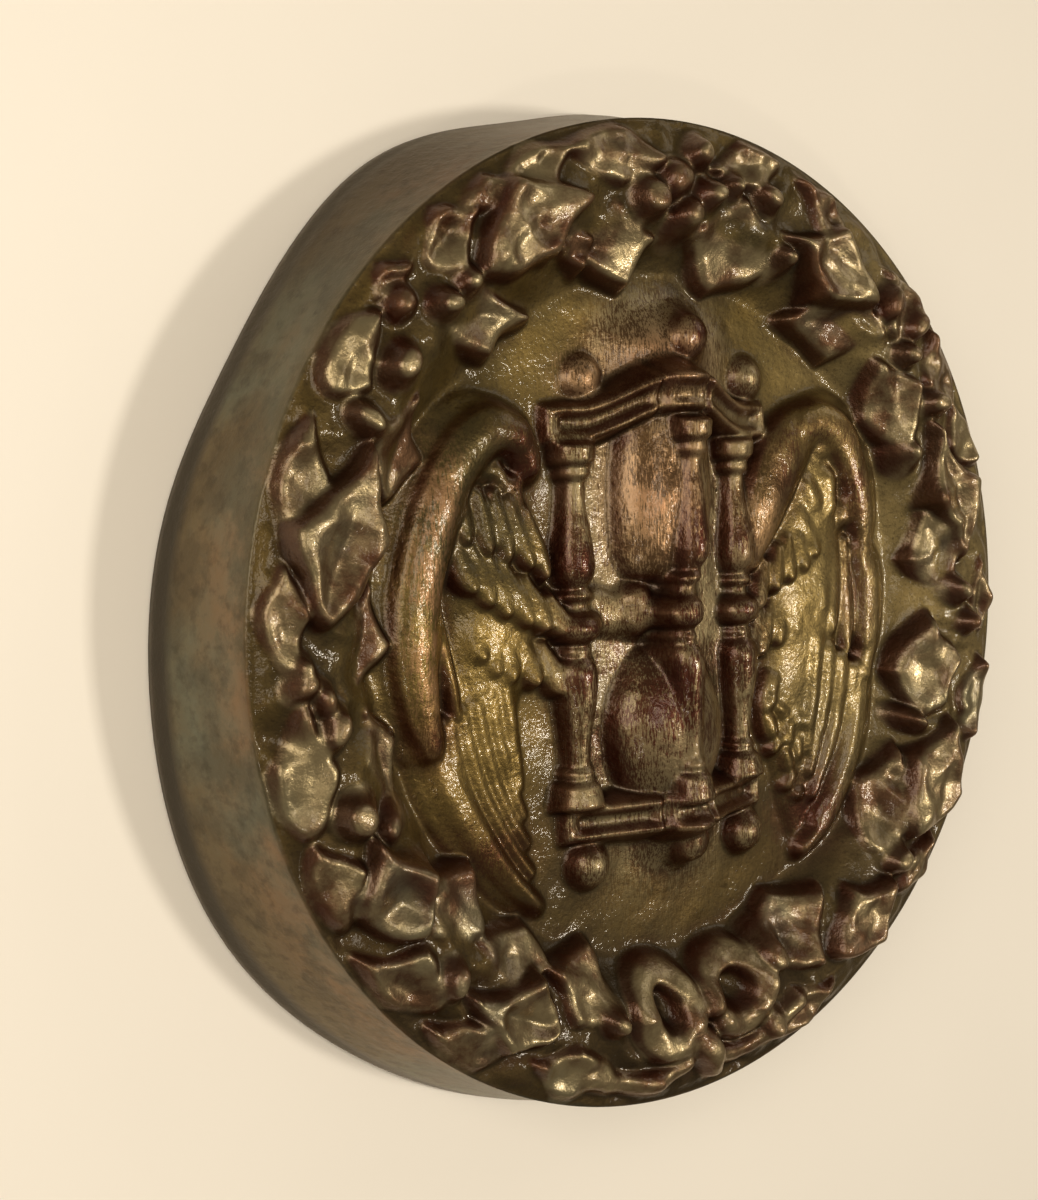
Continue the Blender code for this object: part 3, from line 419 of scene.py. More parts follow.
def hourglass(sheet):
    sideAxis = field + 0.016
    frontAxis = glass["balusterFront"] / rim - 0.045
    swell(sheet, -0.02, 0.02, 0.23, 0.42, 0.030)
    upperBulb = [(0.42, 0.118), (0.34, 0.131), (0.25, 0.138), (0.17, 0.136), (0.12, 0.126), (0.09, 0.105),
                  (0.075, 0.060)]
    lowerBulb = [(-0.045, 0.055), (-0.065, 0.090), (-0.095, 0.115), (-0.13, 0.135), (-0.17, 0.150),
                  (-0.22, 0.157), (-0.28, 0.152), (-0.34, 0.130), (-0.37, 0.110)]
    for bulb in (upperBulb, lowerBulb):
        turned(sheet, hourglassLine, smoothPath(bulb), field - 0.005, squash=0.74, blend=0.012)
    shaft = smoothPath([(0.288, 0.025), (0.24, 0.028), (0.18, 0.037), (0.13, 0.043), (0.10, 0.040),
                         (0.080, 0.028)])
    bead = [(0.030, 0.030), (0.026, 0.040), (0.015, 0.049), (0.0, 0.053), (-0.015, 0.049), (-0.026, 0.040),
            (-0.030, 0.030)]
    lowShaft = smoothPath([(-0.058, 0.030), (-0.075, 0.041), (-0.10, 0.045), (-0.15, 0.041),
                             (-0.22, 0.031), (-0.28, 0.027)])
    sideProfile = [(0.365, 0.048), (0.325, 0.046), (0.318, 0.030), (0.312, 0.036), (0.298, 0.036),
                    (0.292, 0.026), *shaft, (0.074, 0.028), (0.070, 0.036), (0.058, 0.036), (0.054, 0.026),
                    (0.034, 0.026), *bead, (-0.034, 0.026), (-0.040, 0.034), (-0.050, 0.034), *lowShaft,
                    (-0.285, 0.036), (-0.298, 0.036), (-0.303, 0.028), (-0.312, 0.045), (-0.330, 0.048),
                    (-0.365, 0.055)]
    turned(sheet, leftLine, [(z, r * 1.12) for z, r in sideProfile], sideAxis)
    turned(sheet, rightLine, [(z, r * 1.08) for z, r in sideProfile], sideAxis)
    frontProfile = [(z * 1.08 + 0.018, r * 0.98) for z, r in sideProfile]
    turned(sheet, frontLine, frontProfile, frontAxis)
    plates(sheet)
    for side in (-1, 1):
        ball(sheet, hourglassLine(0.5) + side * 0.228, 0.492, 0.048, field - 0.012, squash=1.0, blend=0.04)
        ball(sheet, hourglassLine(-0.48) + side * 0.218, -0.485, 0.055, field - 0.005, squash=1.1)
    swell(sheet, -0.01, 0.55, 0.12, 0.075, 0.050)
    ball(sheet, 0.045, 0.575, 0.050, field + 0.044, squash=0.8, blend=0.04)
    swell(sheet, 0.0, -0.46, 0.07, 0.05, 0.045)
    ball(sheet, 0.022, -0.470, 0.047, field + 0.045, squash=0.9)
    # Collar at the waist and its small knob
    cord(sheet, [(-0.20, 0.030, 0.045, field + 0.008), (-0.15, 0.020, 0.040, field + 0.016),
                 (-0.08, 0.034, 0.046, field + 0.022), (0.02, 0.040, 0.050, field + 0.016)],
         blend=0.040, squash=0.55)
    ball(sheet, -0.104, 0.046, 0.030, field + 0.040, squash=0.8, blend=0.03)
    ball(sheet, -0.100, 0.006, 0.032, field + 0.038, squash=0.8, blend=0.03)


# Three-cornered end plates, one corner toward the viewer: raised borders round sunk panels
def plates(sheet):
    for end, middle, cornerRise, reach in ((1, 0.402, 0.060, 0.300), (-1, -0.396, 0.004, 0.272)):
        out = np.abs(sheet["x"] - hourglassLine(end * 0.36))
        line = middle + cornerRise * (1 - smoothStep((out - 0.03) / 0.20))
        away = np.abs(sheet["z"] - line)
        chosen = np.nonzero((out < reach + 0.05) & (away < 0.09))[0]
        out, away = out[chosen], away[chosen]
        slopeShare = np.clip(out / reach, 0, 1)
        fall = 1 - 0.4 * smoothStep(slopeShare) - 0.6 * slopeShare
        level = field + 0.022 + glass["plateCorner"] / rim * fall
        halfHeight = glass["plateHeight"] / rim / 2
        edgeGap = np.minimum(halfHeight - away, reach - out)
        panel = np.minimum(halfHeight - 0.014 - away, np.minimum(reach - 0.028 - out, out - 0.078))
        cornerPanel = np.minimum(halfHeight - 0.012 - away, 0.036 - out)
        groove = 0.012 * smoothStep(panel / 0.010) + 0.007 * smoothStep(cornerPanel / 0.008)
        groove = groove + 0.018 * np.exp(-((out - 0.060) / 0.009) ** 2)
        border = 0.008 * np.exp(-((edgeGap - 0.008) / 0.008) ** 2)
        raiseTo(sheet, chosen, level + border - groove - 2.5 * np.maximum(-edgeGap, 0.0), 0.010)


# A folded wing: thick leading edge, arm, scales, rows of coverts and long flight feathers
def wing(sheet, lines):
    base = field + 0.004
    side = 1 if lines["arm"][0][0] > 0 else -1
    cord(sheet, [(x, z, half, base - 0.006) for x, z, half in lines["body"]], squash=0.32, blend=0.02)
    # A low soft bank lies along the outer side of the leading edge.
    for height, line in lines["edges"]:
        bank = [(x + side * 0.030, z + 0.004, 1.6 * half, base - 0.008) for x, z, half in line]
        cord(sheet, bank, squash=0.5, blend=0.03)
    outer, inner, count, halfWidth = lines["flight"]
    flightFeathers(sheet, outer, inner, count, halfWidth, base + 0.012 + 0.010 * (side > 0))
    for roots, tips, count, width, rootLift, tipLift in lines["rows"]:
        featherRow(sheet, roots, tips, count, width, base + rootLift, base + tipLift)
    for place, (x, z, half) in enumerate(lines["scales"]):
        reachX = 0.5 * half * math.cos(2.4 * place)
        reachZ = 0.9 * half * math.sin(2.4 * place)
        lump = ((x - reachX, z - reachZ, half, base + 0.016),
                (x + reachX, z + reachZ, 0.8 * half, base + 0.020))
        cord(sheet, lump, squash=0.75, blend=0.012)
    slimLift = 0.024 - 0.012 * (side > 0)
    for line in (lines["slim"], *lines["curls"]):
        cord(sheet, [(x, z, half, base + slimLift) for x, z, half in line], blend=0.010)
    for height, line in lines["edges"]:
        axis = base + height * wings["wingLift"] / rim
        cord(sheet, [(x, z, 1.08 * half, axis) for x, z, half in line], squash=0.54, blend=0.024)
    armSquash = 0.42 if side > 0 else 0.75
    cord(sheet, [(x, z, half, base + 0.024) for x, z, half in lines["arm"]], squash=armSquash, blend=0.02)


# Radius of the edge against the wall, wavy as the hand-formed sheet is
def backEdge(angle):
    radius = np.full(np.shape(angle), plaque["backRadius"])
    for centre, halfWidth, height in backSwells:
        away = (np.degrees(angle) - centre + 180) % 360 - 180
        radius = radius + rim * height * np.exp(-(away / halfWidth) ** 2)
    return radius


# How far the side wall has spread from the front edge (0) to the back edge (1)
def sideShare(depthShare):
    wallStretch = 1 - plaque["footHeight"] / plaque["edgeDepth"]
    hollow = 0.86 * np.clip(depthShare / wallStretch, 0, 1) ** 1.25
    foot = smoothStep((depthShare - wallStretch) / (1 - wallStretch) * 1.4)
    return hollow + 0.14 * foot


# Gaussian blur of a grid; the width is in grid steps
def blurred(grid, width):
    across = np.fft.fftfreq(grid.shape[0])[:, None]
    along = np.fft.rfftfreq(grid.shape[1])[None]
    falloff = np.exp(-2 * (math.pi * width) ** 2 * (across ** 2 + along ** 2))
    return np.fft.irfft2(np.fft.rfft2(grid) * falloff, s=grid.shape)


# Soft random unevenness with hills of about the given size in metres, between about -1 and 1
def unevenness(shape, hillSize, seed):
    rough = np.random.default_rng(seed).standard_normal(shape)
    soft = blurred(rough, hillSize / plaque["gridStep"] / 2)
    return soft / np.abs(soft).max()


# Where the red lacquer gathered, and where the copper shows, rubbed and with painted sheen: x, z, half sizes,
# strength
redPlaces = (
    (-0.25, 0.13, 0.055, 0.060, 1.0), (-0.25, 0.00, 0.070, 0.030, 1.0), (-0.25, -0.105, 0.055, 0.055, 0.9),
    (0.19, 0.13, 0.055, 0.060, 1.0), (0.19, 0.00, 0.060, 0.030, 1.0), (0.19, -0.11, 0.050, 0.050, 0.8),
    (0.00, 0.17, 0.040, 0.100, 1.0), (-0.03, 0.02, 0.070, 0.030, 1.0), (-0.02, -0.14, 0.050, 0.100, 0.9),
    (-0.10, 0.03, 0.030, 0.045, 1.0), (-0.36, 0.30, 0.060, 0.060, 1.0), (-0.40, 0.385, 0.060, 0.040, 0.8),
    (0.33, 0.28, 0.060, 0.090, 0.8), (0.43, 0.37, 0.120, 0.040, 0.8), (0.55, 0.25, 0.050, 0.120, 0.9),
    (0.56, 0.00, 0.060, 0.120, 0.8), (0.42, -0.47, 0.110, 0.100, 1.0), (-0.48, -0.42, 0.120, 0.080, 0.8),
    (-0.60, -0.17, 0.050, 0.060, 0.9), (0.06, 0.585, 0.050, 0.045, 1.0), (-0.09, -0.21, 0.130, 0.140, 1.0),
)
copperSheenPlaces = (
    (-0.62, 0.02, 0.050, 0.200, 0.8), (-0.58, 0.28, 0.050, 0.090, 0.4), (-0.07, 0.25, 0.090, 0.160, 1.0),
    (-0.02, 0.53, 0.130, 0.060, 1.0), (-0.22, 0.49, 0.050, 0.050, 0.7), (0.25, 0.20, 0.060, 0.120, 0.6),
)


# Soft blots at the listed places, between 0 and 1
def blots(places, x, z):
    tone = np.zeros(x.shape)
    for middleX, middleZ, halfX, halfZ, strength in places:
        tone += strength * np.exp(-((x - middleX) / halfX) ** 2 - ((z - middleZ) / halfZ) ** 2)
    return np.minimum(tone, 1.0)


# Heights of the face and its tones on a square grid of points, both by row of x and column of z
def workOutFace():
    step = plaque["gridStep"] / rim
    line = np.arange(-1.06, 1.06, step)
    gridX, gridZ = np.meshgrid(line, line, indexing="ij")
    radius = np.hypot(gridX, gridZ)
    inside = radius < 1.03
    sheet = {"x": gridX[inside], "z": gridZ[inside], "h": mound(radius[inside])}
    bare = sheet["h"].copy()
    wing(sheet, leftWing)
    wing(sheet, rightWing)
    onWings = smoothStep((sheet["h"] - bare) / 0.012)
    before = sheet["h"].copy()
    hourglass(sheet)
    onGlass = smoothStep((sheet["h"] - before) / 0.012)
    before = sheet["h"].copy()
    garland(sheet)
    bow(sheet)
    onLeaves = smoothStep((sheet["h"] - before) / 0.006)
    heights = np.full(radius.shape, edge)
    heights[inside] = sheet["h"]
    leaves = smoothStep((radius - 0.70) / 0.08)
    uneven = unevenness(radius.shape, 0.007, 3)
    finer = unevenness(radius.shape, 0.003, 4)
    folds = 1 - 4 * np.abs(unevenness(radius.shape, 0.012, 5))
    creases = 1 - 4 * np.abs(unevenness(radius.shape, 0.006, 6))
    heights += (0.0026 + 0.0050 * leaves) * uneven + 0.0018 * finer
    heights += leaves * (0.0075 * folds + 0.0030 * creases)
    heights = blurred(heights, plaque["melt"] / plaque["gridStep"])
    start, room = plaque["calmBelow"] / rim, (plaque["greatestDepth"] - plaque["calmBelow"]) / rim
    heights = np.where(heights > start, start + room * np.tanh((heights - start) / room), heights)
    nearEdge = smoothStep((1.0 - radius) / 0.030)
    heights = edge + (heights - edge) * nearEdge
    fine = heights - blurred(heights, 0.0018 / plaque["gridStep"])
    broad = heights - blurred(heights, 0.0060 / plaque["gridStep"])
    slope = np.hypot(*np.gradient(broad, step))
    tones = {
        "hollow": smoothStep(-fine / 0.010),
        "ridge": smoothStep(fine / 0.010),
        # height against the surroundings, which the material reads to paint shade into low places
        "high": smoothStep(0.5 + broad / 0.06),
        "steep": smoothStep(slope - 0.30),
    }
    for name, mask in (("wings", onWings), ("glass", onGlass), ("leaves", onLeaves)):
        tones[name] = np.zeros(radius.shape)
        tones[name][inside] = mask
    tones["gap"] = (1 - tones["leaves"]) * smoothStep((radius - 0.77) / 0.06)
    tones["red"] = blots(redPlaces, gridX, gridZ)
    tones["rubbedAndSheen"] = blots(copperSheenPlaces, gridX, gridZ)
    return line, heights, tones


# Reads a grid at any places between its points
def sampled(line, grid, x, z):
    step = line[1] - line[0]
    across = np.clip((x - line[0]) / step, 0, len(line) - 2)
    along = np.clip((z - line[0]) / step, 0, len(line) - 2)
    i, j = across.astype(int), along.astype(int)
    u, v = across - i, along - j
    low = grid[i, j] * (1 - u) + grid[i + 1, j] * u
    high = grid[i, j + 1] * (1 - u) + grid[i + 1, j + 1] * u
    return low * (1 - v) + high * v


# The body's section turned about the plaque's axis
def turnedBody():
    mesh = bmesh.new()
    rings = plaque["faceRings"]
    section = [(rim * ring / rings, -plaque["edgeDepth"]) for ring in range(rings + 1)]
    for ring in range(1, plaque["wallRings"] + 1):
        section.append((plaque["backRadius"], -plaque["edgeDepth"] * (1 - ring / plaque["wallRings"])))
    seat, wall = plaque["seatRadius"], plaque["shellWall"]
    hollowDepth = plaque["edgeDepth"] - 2 * wall
    section.append((seat, 0.0))
    for ring in range(1, 9):
        section.append((seat - (seat - rim + 3 * wall) * ring / 8, -hollowDepth * ring / 8))
    for ring in range(1, 31):
        radius = (rim - 3 * wall) * (1 - ring / 30)
        section.append((radius, wall - rim * float(mound(np.array(radius / rim)))))
    points = [mesh.verts.new((radius, y, 0.0)) for radius, y in section]
    for pair in zip(points, points[1:]):
        mesh.edges.new(pair)
    # An eighth is spun, then doubled three times, which is far quicker than one full spin
    steps = plaque["turnSteps"] // 8
    eighth = math.pi / 4
    bmesh.ops.spin(
        mesh, geom=mesh.verts[:] + mesh.edges[:], cent=(0, 0, 0), axis=(0, 1, 0), angle=eighth, steps=steps)
    for turn in (eighth, 2 * eighth, 4 * eighth):
        made = bmesh.ops.duplicate(mesh, geom=mesh.verts[:] + mesh.edges[:] + mesh.faces[:])["geom"]
        copied = [part for part in made if isinstance(part, bmesh.types.BMVert)]
        bmesh.ops.rotate(mesh, verts=copied, cent=(0, 0, 0), matrix=Matrix.Rotation(turn, 3, "Y"))
    bmesh.ops.remove_doubles(mesh, verts=mesh.verts, dist=1e-6)
    bmesh.ops.recalc_face_normals(mesh, faces=mesh.faces)
    data = bpy.data.meshes.new("reliefPlaque")
    mesh.to_mesh(data)
    mesh.free()
    return data


def pointsOf(data):
    at = np.empty(len(data.vertices) * 3)
    data.vertices.foreach_get("co", at)
    return at.reshape(-1, 3)


def seatMiddle():
    return (float(backEdge(np.array(0.0))) + plaque["seatRadius"]) / 2


def buildPlaque(line, heights, tones):
    data = turnedBody()
    at = pointsOf(data)
    radius = np.hypot(at[:, 0], at[:, 2])
    angle = np.arctan2(at[:, 0], at[:, 2])
    onFace = (at[:, 1] < -plaque["edgeDepth"] + 1e-6) & (radius < rim + 1e-6)
    onWall = radius > rim + 1e-6
    spread = rim + (backEdge(angle) - rim) * sideShare(1 + at[:, 1] / plaque["edgeDepth"])
    newRadius = np.where(onWall, spread, radius)
    at[:, 0] = newRadius * np.sin(angle)
    at[:, 2] = newRadius * np.cos(angle)
    at[onFace, 1] = -rim * sampled(line, heights, at[onFace, 0] / rim, at[onFace, 2] / rim)
    at[:, 2] -= seatMiddle()
    data.vertices.foreach_set("co", at.ravel())
    data.update()
    fine = bpy.data.objects.new("reliefPlaqueFine", data)
    bpy.context.scene.collection.objects.link(fine)
    lighter = fine.modifiers.new("Decimate", "DECIMATE")
    lighter.ratio = plaque["keptShare"]
    solid = bpy.data.meshes.new_from_object(fine.evaluated_get(bpy.context.evaluated_depsgraph_get()))
    bpy.data.objects.remove(fine, do_unlink=True)
    piece = bpy.data.objects.new("reliefPlaque", solid)
    bpy.context.scene.collection.objects.link(piece)
    solid.shade_smooth()
    solid.calc_loop_triangles()
    print("plaque", len(solid.loop_triangles), "triangles")
    paintTones(solid, line, tones)
    return piece


# Colour layers of the mesh, each with three tones that the material reads
toneLayers = {
    "relief": ("hollow", "ridge", "high"),
    "place": ("wings", "steep", "leaves"),
    "tint": ("red", "rubbedAndSheen", "gap"),
}


# Tones the material reads: hollows and ridges, and what each place is part of
def paintTones(data, line, tones):
    at = pointsOf(data)
    x, z = at[:, 0] / rim, (at[:, 2] + seatMiddle()) / rim
    radius = np.hypot(x, z)
    front = smoothStep((1.005 - radius) / 0.01) * (at[:, 1] < -0.5 * plaque["fieldDepth"])
    for name, parts in toneLayers.items():
        colours = np.ones((len(at), 4))
        for channel, part in enumerate(parts):
            colours[:, channel] = sampled(line, tones[part], x, z) * front
        layer = data.color_attributes.new(name, "FLOAT_COLOR", "POINT")
        layer.data.foreach_set("color", colours.ravel())
    side = data.attributes.new("side", "FLOAT", "POINT")
    side.data.foreach_set("value", 1 - front)
    glass = data.attributes.new("glass", "FLOAT", "POINT")
    glass.data.foreach_set("value", sampled(line, tones["glass"], x, z) * front)


# Hex colour as the screen shows it, to linear
def linear(hexColour):
    parts = [int(hexColour[i:i + 2], 16) / 255 for i in (1, 3, 5)]
    return tuple(p / 12.92 if p < 0.04045 else ((p + 0.055) / 1.055) ** 2.4 for p in parts) + (1.0,)


# Adds a node and returns one of its outputs; sockets are given by name or number,
# as a value or as the output that feeds them
def addNode(tree, kind, sockets=None, output=0, **settings):
    made = tree.nodes.new(kind)
    for name, value in settings.items():
        setattr(made, name, value)
    for name, value in (sockets or {}).items():
        if isinstance(value, bpy.types.NodeSocket):
            tree.links.new(value, made.inputs[name])
        else:
            made.inputs[name].default_value = value
    return made.outputs[output]


def newMaterial(name):
    material = bpy.data.materials.new(name)
    material.use_nodes = True
    tree = material.node_tree
    return material, tree, tree.nodes["Principled BSDF"]


metalColours = {
    "fieldGold": "#746132",
    "fieldOlive": "#433a20",
    # painted light: the colour that lightens the field towards the right
    "fieldPaintedLight": "#94845a",
    "leafPanel": "#8c7f60",
    "leafBrown": "#4e3725",
    "darkBrown": "#20150d",
    "redLacquer": "#3b170d",
    "copper": "#9a7455",
    "bloom": "#6c7060",
    "sideOlive": "#6f6249",
    "sideFoot": "#403b32",
}
metalNoise = {
    "cloudy": {"Scale": 14.0, "Detail": 5.0, "Roughness": 0.6},
    "blotchy": {"Scale": 45.0, "Detail": 6.0, "Roughness": 0.65},
    "pitted": {"Scale": 190.0, "Detail": 4.0, "Roughness": 0.6},
    "grainy": {"Scale": 640.0, "Detail": 6.0, "Roughness": 0.8},
}
streakNoise = {"Scale": 1500.0, "Detail": 4.0, "Roughness": 0.7}
streakStretch = (1.0, 1.0, 0.14)
metalShine = {
    "Metallic": 0.75, "Specular Tint": "#ead6b8", "Coat Weight": 0.32, "Coat Roughness": 0.09,
    "smoothest": 0.28, "roughest": 0.46, "fieldSatin": 0.17,
}
metalBumps = {"blotchy": (0.0025, 0.45), "pitted": (0.0006, 0.5), "grainy": (0.0002, 0.4)}

# Layers from the bottom up, of patina and of painted light and shade: colour, the value that drives it,
# the two readings of that value, the layer's share at each of them and, where a seventh item stands,
# the value that holds the layer back
groundLayers = (
    ("fieldGold", "cloudy", 0.36, 0.62, 0.0, 1.0),
    # painted light: the field turns lighter towards the right, where the light falls
    ("fieldPaintedLight", "x", 0.05, 0.12, 0.0, 0.6),
    ("darkBrown", "grainy", 0.50, 0.68, 0.0, 0.65),
    # the field turns darker towards the bottom
    ("darkBrown", "z", -0.19, -0.30, 0.0, 0.55),
)
leafLayers = (
    ("leafBrown", "blotchy", 0.40, 0.60, 0.0, 1.0),
    ("bloom", "cloudy", 0.54, 0.70, 0.0, 0.6),
)
glassLayers = (("leafPanel", "streaks", 0.47, 0.53, 0.0, 1.0),)
faceLayers = (
    # copper where rubbed, and painted sheen where the relief catches the light
    ("copper", "streaks", 0.47, 0.525, 0.0, 0.95, "rubbedAndSheen"),
    ("redLacquer", "streaks", 0.55, 0.49, 0.35, 1.0, "red"),
    # painted shade: places lower than their surroundings, as next to the wings and the hourglass, are
    # darkened
    ("darkBrown", "high", 0.46, 0.18, 0.0, 0.32),
    ("darkBrown", "gap", 0.0, 1.0, 0.0, 0.40),
    ("redLacquer", "steep", 0.0, 1.0, 0.0, 0.85),
    ("darkBrown", "hollow", 0.0, 1.0, 0.0, 0.75),
    # copper on the ridges: rubbed wear, and a painted highlight
    ("copper", "blotchy", 0.46, 0.62, 0.0, 0.35, "ridge"),
)
sideLayers = (
    # painted reflection: a pinkish copper band along the side wall near the front edge
    ("copper", "blotchy", 0.42, 0.58, 0.0, 0.6, "rimReflection"),
    ("bloom", "cloudy", 0.44, 0.60, 0.0, 0.8),
    ("darkBrown", "blotchy", 0.58, 0.44, 0.0, 0.35),
    ("darkBrown", "pitted", 0.50, 0.66, 0.0, 0.3),
    # painted shade: the side wall darker towards its top
    ("darkBrown", "z", -0.12, -0.02, 0.0, 0.7),
    ("sideFoot", "y", -0.0135, -0.0090, 0.0, 1.0),
)


# Values that the layers read: place, noise, the painted tones and what is made from them
def metalValues(tree):
    where = addNode(tree, "ShaderNodeTexCoord", output="Object")
    values = {name: addNode(tree, "ShaderNodeTexNoise", {"Vector": where, **noise})
              for name, noise in metalNoise.items()}
    axes = addNode(tree, "ShaderNodeSeparateXYZ", {0: where}).node
    values.update(x=axes.outputs[0], y=axes.outputs[1], z=axes.outputs[2])
    for layer, parts in toneLayers.items():
        painted = addNode(tree, "ShaderNodeVertexColor", layer_name=layer)
        split = addNode(tree, "ShaderNodeSeparateColor", {0: painted}).node
        values.update(zip(parts, split.outputs))
    for name in ("side", "glass"):
        values[name] = addNode(tree, "ShaderNodeAttribute", output="Fac", attribute_name=name)
    upright = addNode(tree, "ShaderNodeMapping", {"Vector": where, "Scale": streakStretch})
    streaky = addNode(tree, "ShaderNodeTexNoise", {"Vector": upright, **streakNoise})
    fine = addNode(tree, "ShaderNodeMath", {0: streaky, 1: 0.55}, operation="MULTIPLY")
    broad = addNode(tree, "ShaderNodeMath", {0: values["blotchy"], 1: 0.45}, operation="MULTIPLY")
    values["streaks"] = addNode(tree, "ShaderNodeMath", {0: fine, 1: broad}, operation="ADD")
    # share of the painted reflection along the side wall, strongest at the front edge
    sockets = {"Value": values["y"], "From Min": -0.0180, "From Max": -0.0480}
    values["rimReflection"] = addNode(tree, "ShaderNodeMapRange", sockets)
    return values


# Lays the given layers over a colour
def layered(tree, values, colour, layers):
    for name, driver, low, high, lowShare, highShare, *held in layers:
        reading = {"Value": values[driver], "From Min": low, "From Max": high}
        share = addNode(tree, "ShaderNodeMapRange", {**reading, "To Min": lowShare, "To Max": highShare})
        for mask in held:
            share = addNode(tree, "ShaderNodeMath", {0: share, 1: values[mask]}, operation="MULTIPLY")
        sockets = {0: share, 6: colour, 7: linear(metalColours[name])}
        colour = addNode(tree, "ShaderNodeMix", sockets, output=2, data_type="RGBA")
    return colour


# Copper sheet, chased, patinated and lacquered: a clear gloss over an olive and red-brown skin,
# coppery where rubbed, with painted light, sheen and shade in the colour
def patinatedCopper():
    material, tree, shader = newMaterial("patinatedCopper")
    values = metalValues(tree)
    base = {name: linear(value) for name, value in metalColours.items()}
    ground = layered(tree, values, base["fieldOlive"], groundLayers)
    leaf = layered(tree, values, base["leafPanel"], leafLayers)
    sockets = {0: values["leaves"], 6: ground, 7: leaf}
    colour = addNode(tree, "ShaderNodeMix", sockets, output=2, data_type="RGBA")
    # Upright brush streaks on the hourglass let a fifth of the ground through
    brushed = layered(tree, values, base["leafBrown"], glassLayers)
    share = addNode(tree, "ShaderNodeMath", {0: values["glass"], 1: 0.8}, operation="MULTIPLY")
    colour = addNode(tree, "ShaderNodeMix", {0: share, 6: colour, 7: brushed}, output=2, data_type="RGBA")
    colour = layered(tree, values, colour, faceLayers)
    side = layered(tree, values, base["sideOlive"], sideLayers)
    sockets = {0: values["side"], 6: colour, 7: side}
    colour = addNode(tree, "ShaderNodeMix", sockets, output=2, data_type="RGBA")
    tree.links.new(colour, shader.inputs["Base Color"])
    # The plain field is more satin than what stands on it
    raised = values["leaves"]
    for name in ("glass", "wings"):
        raised = addNode(tree, "ShaderNodeMath", {0: raised, 1: values[name]}, operation="MAXIMUM")
    sockets = {"Value": raised, "To Min": metalShine["fieldSatin"], "To Max": 0.0}
    satin = addNode(tree, "ShaderNodeMapRange", sockets)
    uneven = {"Value": values["blotchy"], "From Min": 0.3, "From Max": 0.7}
    uneven.update({"To Min": metalShine["smoothest"], "To Max": metalShine["roughest"]})
    rough = addNode(tree, "ShaderNodeMapRange", uneven)
    rough = addNode(tree, "ShaderNodeMath", {0: rough, 1: satin}, operation="ADD")
    tree.links.new(rough, shader.inputs["Roughness"])
    for name in ("Metallic", "Coat Weight", "Coat Roughness"):
        shader.inputs[name].default_value = metalShine[name]
    shader.inputs["Specular Tint"].default_value = linear(metalShine["Specular Tint"])
    # The lacquer lies over the hammered hollows and fills the finest grain
    relief = {}
    for name, (distance, strength) in metalBumps.items():
        sockets = {"Height": values[name], "Distance": distance, "Strength": strength, **relief}
        if name == "grainy":
            tree.links.new(relief["Normal"], shader.inputs["Coat Normal"])
        relief = {"Normal": addNode(tree, "ShaderNodeBump", sockets)}
    tree.links.new(relief["Normal"], shader.inputs["Normal"])
    return material


backWall = {
    "halfSize": 4.0, "gap": 0.0006,
    "shade": "#f0ede7", "light": "#f4f1eb", "patches": 9.0, "roughness": 0.75,
}


# Matt emulsion on a plastered wall: an even pale ground with the faintest clouding
def wallPaint():
    material, tree, shader = newMaterial("matteWallPaint")
    where = addNode(tree, "ShaderNodeTexCoord", output="Object")
    clouding = {"Vector": where, "Scale": backWall["patches"], "Detail": 4.0}
    patchy = addNode(tree, "ShaderNodeTexNoise", clouding)
    tones = {0: patchy, 6: linear(backWall["shade"]), 7: linear(backWall["light"])}
    colour = addNode(tree, "ShaderNodeMix", tones, output=2, data_type="RGBA")
    tree.links.new(colour, shader.inputs["Base Color"])
    shader.inputs["Roughness"].default_value = backWall["roughness"]
    return material


def buildWall():
    mesh = bmesh.new()
    upright = Matrix.Rotation(math.pi / 2, 4, "X")
    bmesh.ops.create_grid(mesh, x_segments=2, y_segments=2, size=backWall["halfSize"], matrix=upright)
    data = bpy.data.meshes.new("backWall")
    mesh.to_mesh(data)
    mesh.free()
    at = pointsOf(data)
    at[:, 1] = backWall["gap"]
    data.vertices.foreach_set("co", at.ravel())
    wall = bpy.data.objects.new("backWall", data)
    bpy.context.scene.collection.objects.link(wall)
    data.materials.append(wallPaint())


lights = {
    "lamp": {"at": (1.13, -2.10, -0.42), "size": 0.20, "power": 21.5, "colour": "#fff3e0"},
    "window": {"at": (1.45, -1.00, 0.75), "size": 0.80, "power": 3.6, "colour": "#fff3e0"},
    "fill": {"at": (-0.82, -0.68, 0.04), "size": 0.55, "power": 5.0, "colour": "#fff0da"},
    "room": {"at": (-0.10, -1.70, -0.05), "size": 0.40, "power": 4.2, "colour": "#fff0da"},
    "spark": {"at": (-0.95, -1.35, -0.85), "size": 0.08, "power": 1.8, "colour": "#fff0da"},
}
roomLight = {"colour": "#f4e4c8", "strength": 0.25}


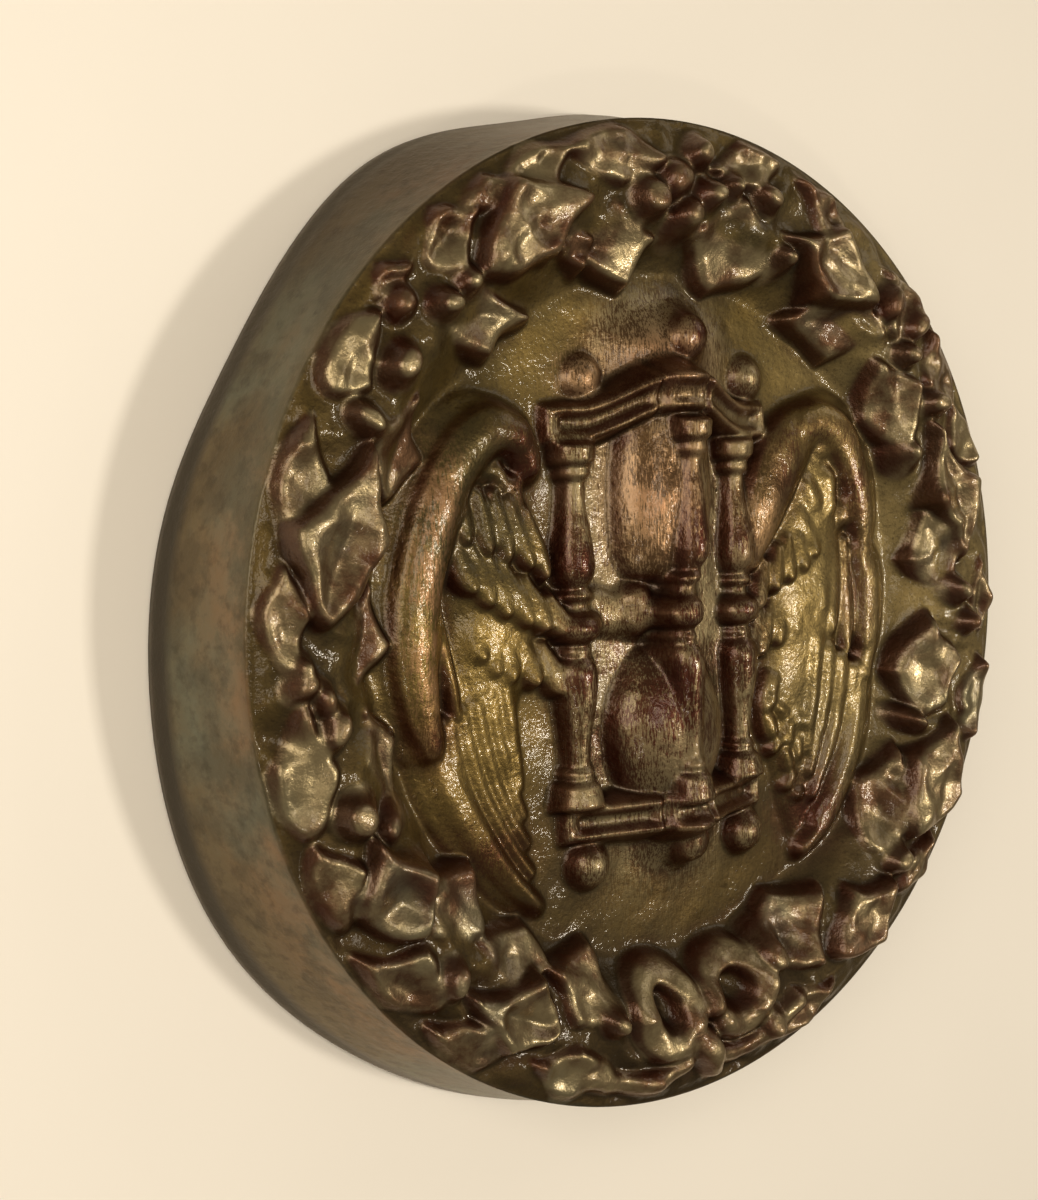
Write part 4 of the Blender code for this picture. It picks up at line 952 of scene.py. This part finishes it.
def buildLights(middle):
    for name, how in lights.items():
        data = bpy.data.lights.new(name, "AREA")
        data.shape = "SQUARE"
        data.size = how["size"]
        data.energy = how["power"]
        data.color = linear(how["colour"])[:3]
        lamp = bpy.data.objects.new(name, data)
        bpy.context.scene.collection.objects.link(lamp)
        lamp.location = how["at"]
        lamp.rotation_mode = "QUATERNION"
        lamp.rotation_quaternion = (middle - Vector(how["at"])).to_track_quat("-Z", "Y")
    world = bpy.data.worlds.new("room")
    world.use_nodes = True
    world.node_tree.nodes["Background"].inputs[0].default_value = linear(roomLight["colour"])
    world.node_tree.nodes["Background"].inputs[1].default_value = roomLight["strength"]
    bpy.context.scene.world = world


# Angles in degrees, lengths in shares of the front radius, focal length in pixels of the 1038 x 1200 picture
camera = {
    "azimuth": -36.86, "elevation": 5.20, "roll": -1.75,
    "distance": 3.372, "aim": (-0.229, 0.0, 0.0418), "focal": 1611.8,
}


def buildCamera(middle):
    azimuth, elevation = math.radians(camera["azimuth"]), math.radians(camera["elevation"])
    roll = math.radians(camera["roll"])
    level = math.cos(elevation)
    back = Vector((math.sin(azimuth) * level, -math.cos(azimuth) * level, math.sin(elevation)))
    right = (-back).cross(Vector((0, 0, 1))).normalized()
    up = right.cross(-back)
    right, up = right * math.cos(roll) + up * math.sin(roll), up * math.cos(roll) - right * math.sin(roll)
    data = bpy.data.cameras.new("camera")
    data.sensor_width = 36
    data.lens = camera["focal"] * 36 / 1200
    seen = bpy.data.objects.new("camera", data)
    bpy.context.scene.collection.objects.link(seen)
    turn = Matrix((right, up, back)).transposed().to_4x4()
    place = middle + rim * (Vector(camera["aim"]) + back * camera["distance"])
    seen.matrix_world = Matrix.Translation(place) @ turn
    data.clip_start = 0.01
    bpy.context.scene.camera = seen


middle = Vector((0, 0, -seatMiddle()))
line, heights, tones = workOutFace()
print("relief worked out")
piece = buildPlaque(line, heights, tones)
piece.data.materials.clear()
piece.data.materials.append(patinatedCopper())
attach(piece, "root")
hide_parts("relief_plaque")
buildWall()
buildLights(middle)
buildCamera(middle)
bpy.context.scene.view_settings.view_transform = "Standard"
print("wall, lights and camera placed")
